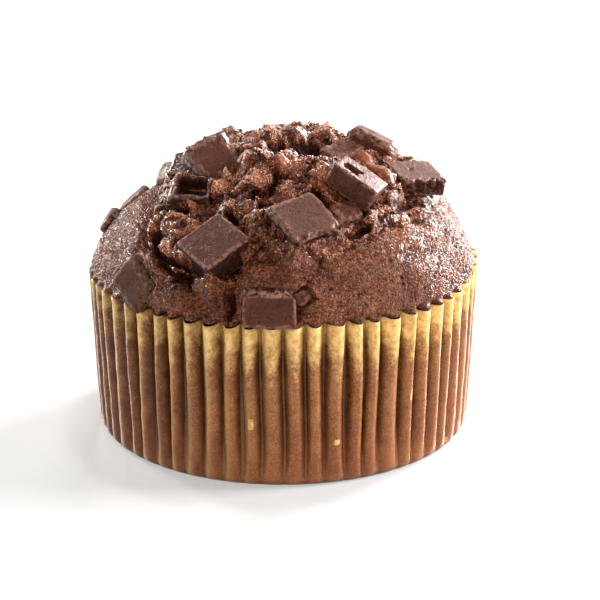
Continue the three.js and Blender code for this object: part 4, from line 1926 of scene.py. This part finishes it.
@dataclass
class Studio:
    """A white floor, soft lights and the camera."""

    lens: float = 121.3
    distance: float = 0.42
    elevation: float = 19.29
    aim: Point = (0.00343, 0.0, 0.0251)
    sky: float = 0.08
    floor_glow: float = 0.35
    floor_dark: Colour = (0.4, 0.4, 0.395, 1)
    floor_light: Colour = (0.415, 0.415, 0.41, 1)
    softboxes: tuple[Softbox, ...] = (
        Softbox("right_softbox", (0.62, 0.04, 0.36), 0.22, 8.2),
        Softbox("right_rim_light", (0.47, 0.5, 0.22), 0.26, 17),
        Softbox("right_glint_light", (0.5, 0.46, 0.26), 0.3, 16, fills=False, tint=(1, 0.95, 0.91)),
        Softbox("left_rim_light", (-0.46, 0.46, 0.26), 0.12, 4.4, tint=(1, 0.92, 0.86)),
        Softbox("left_glint_light", (-0.5, 0.4, 0.22), 0.12, 6.5, fills=False, tint=(1, 0.92, 0.86)),
        Softbox("left_front_glint_light", (-0.5, -0.3, 0.12), 0.2, 1.6, fills=False),
        Softbox("overhead_light", (0.06, 0.1, 0.6), 0.07, 1.2),
        Softbox("left_strip_light", (-0.5, 0.16, 0.12), 0.14, 0.5),
        Softbox("top_softbox", (0.05, 0.5, 0.5), 0.18, 1.4),
        Softbox("front_fill", (0.05, -0.75, 0.5), 0.5, 5.1, glints=False),
    )

    def build(self) -> None:
        """Lays the floor, hangs the lights and sets up the camera."""
        net = bmesh.new()
        bmesh.ops.create_grid(net, x_segments=8, y_segments=8, size=3)
        floor = finish_net(net, "floor")
        if floor.data.polygons[0].normal.z < 0:
            floor.data.flip_normals()
        plain = Recipe("white_floor")
        cloud = plain.noise(900, 1)
        colour = plain.tint(plain.spread(cloud, 0.3, 0.7), self.floor_dark, self.floor_light)
        floor.data.materials.append(plain.finish(colour, 0.38, plain.bump(cloud, 0.01)))
        glow = plain.shader.inputs
        glow["Emission Color"].default_value = (1, 1, 0.99, 1)
        glow["Emission Strength"].default_value = self.floor_glow
        for softbox in self.softboxes:
            softbox.build()
        world = bpy.data.worlds.new("studio")
        world.use_nodes = True
        dim = world.node_tree.nodes["Background"].inputs
        dim["Color"].default_value = (1, 1, 1, 1)
        dim["Strength"].default_value = self.sky
        scene = bpy.context.scene
        scene.world = world
        scene.view_settings.view_transform = "Standard"
        lens = bpy.data.cameras.new("camera")
        lens.lens = self.lens
        camera = bpy.data.objects.new("camera", lens)
        lift = math.radians(self.elevation)
        aim = Vector(self.aim)
        camera.location = aim + self.distance * Vector((0, -math.cos(lift), math.sin(lift)))
        camera.rotation_euler = (aim - camera.location).to_track_quat("-Z", "Y").to_euler()
        scene.collection.objects.link(camera)
        scene.camera = camera


def corners(box: tuple[Point, Point]) -> list[list[float]]:
    """A box's two corners as plain lists."""
    return [[float(number) for number in corner] for corner in box]


def main() -> None:
    """Builds the muffin and its studio."""
    logging.basicConfig(level=logging.INFO, format="%(name)s: %(message)s")
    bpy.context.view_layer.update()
    Studio().build()
    case = PaperCase()
    case.build()
    coats = {
        Coat.DULL: ChocolateFinish("dull_chocolate").material(),
        Coat.BRIGHT: ChocolateFinish(
            "bright_chocolate", base=tone(82, 46, 34), worn=tone(128, 92, 78),
            bloom=0.02, gloss=0.22, mirror=0.32, relief=0.35,
        ).material(),
        Coat.DARK: ChocolateFinish(
            "dark_chocolate_face", base=tone(76, 43, 28), worn=tone(108, 76, 52),
            bloom=0.1, mirror=0.05, relief=0.5,
        ).material(),
    }
    for chunk in CHUNKS:
        chunk.build(coats)
    Cake(case).build()


if __name__ == "__main__":
    main()
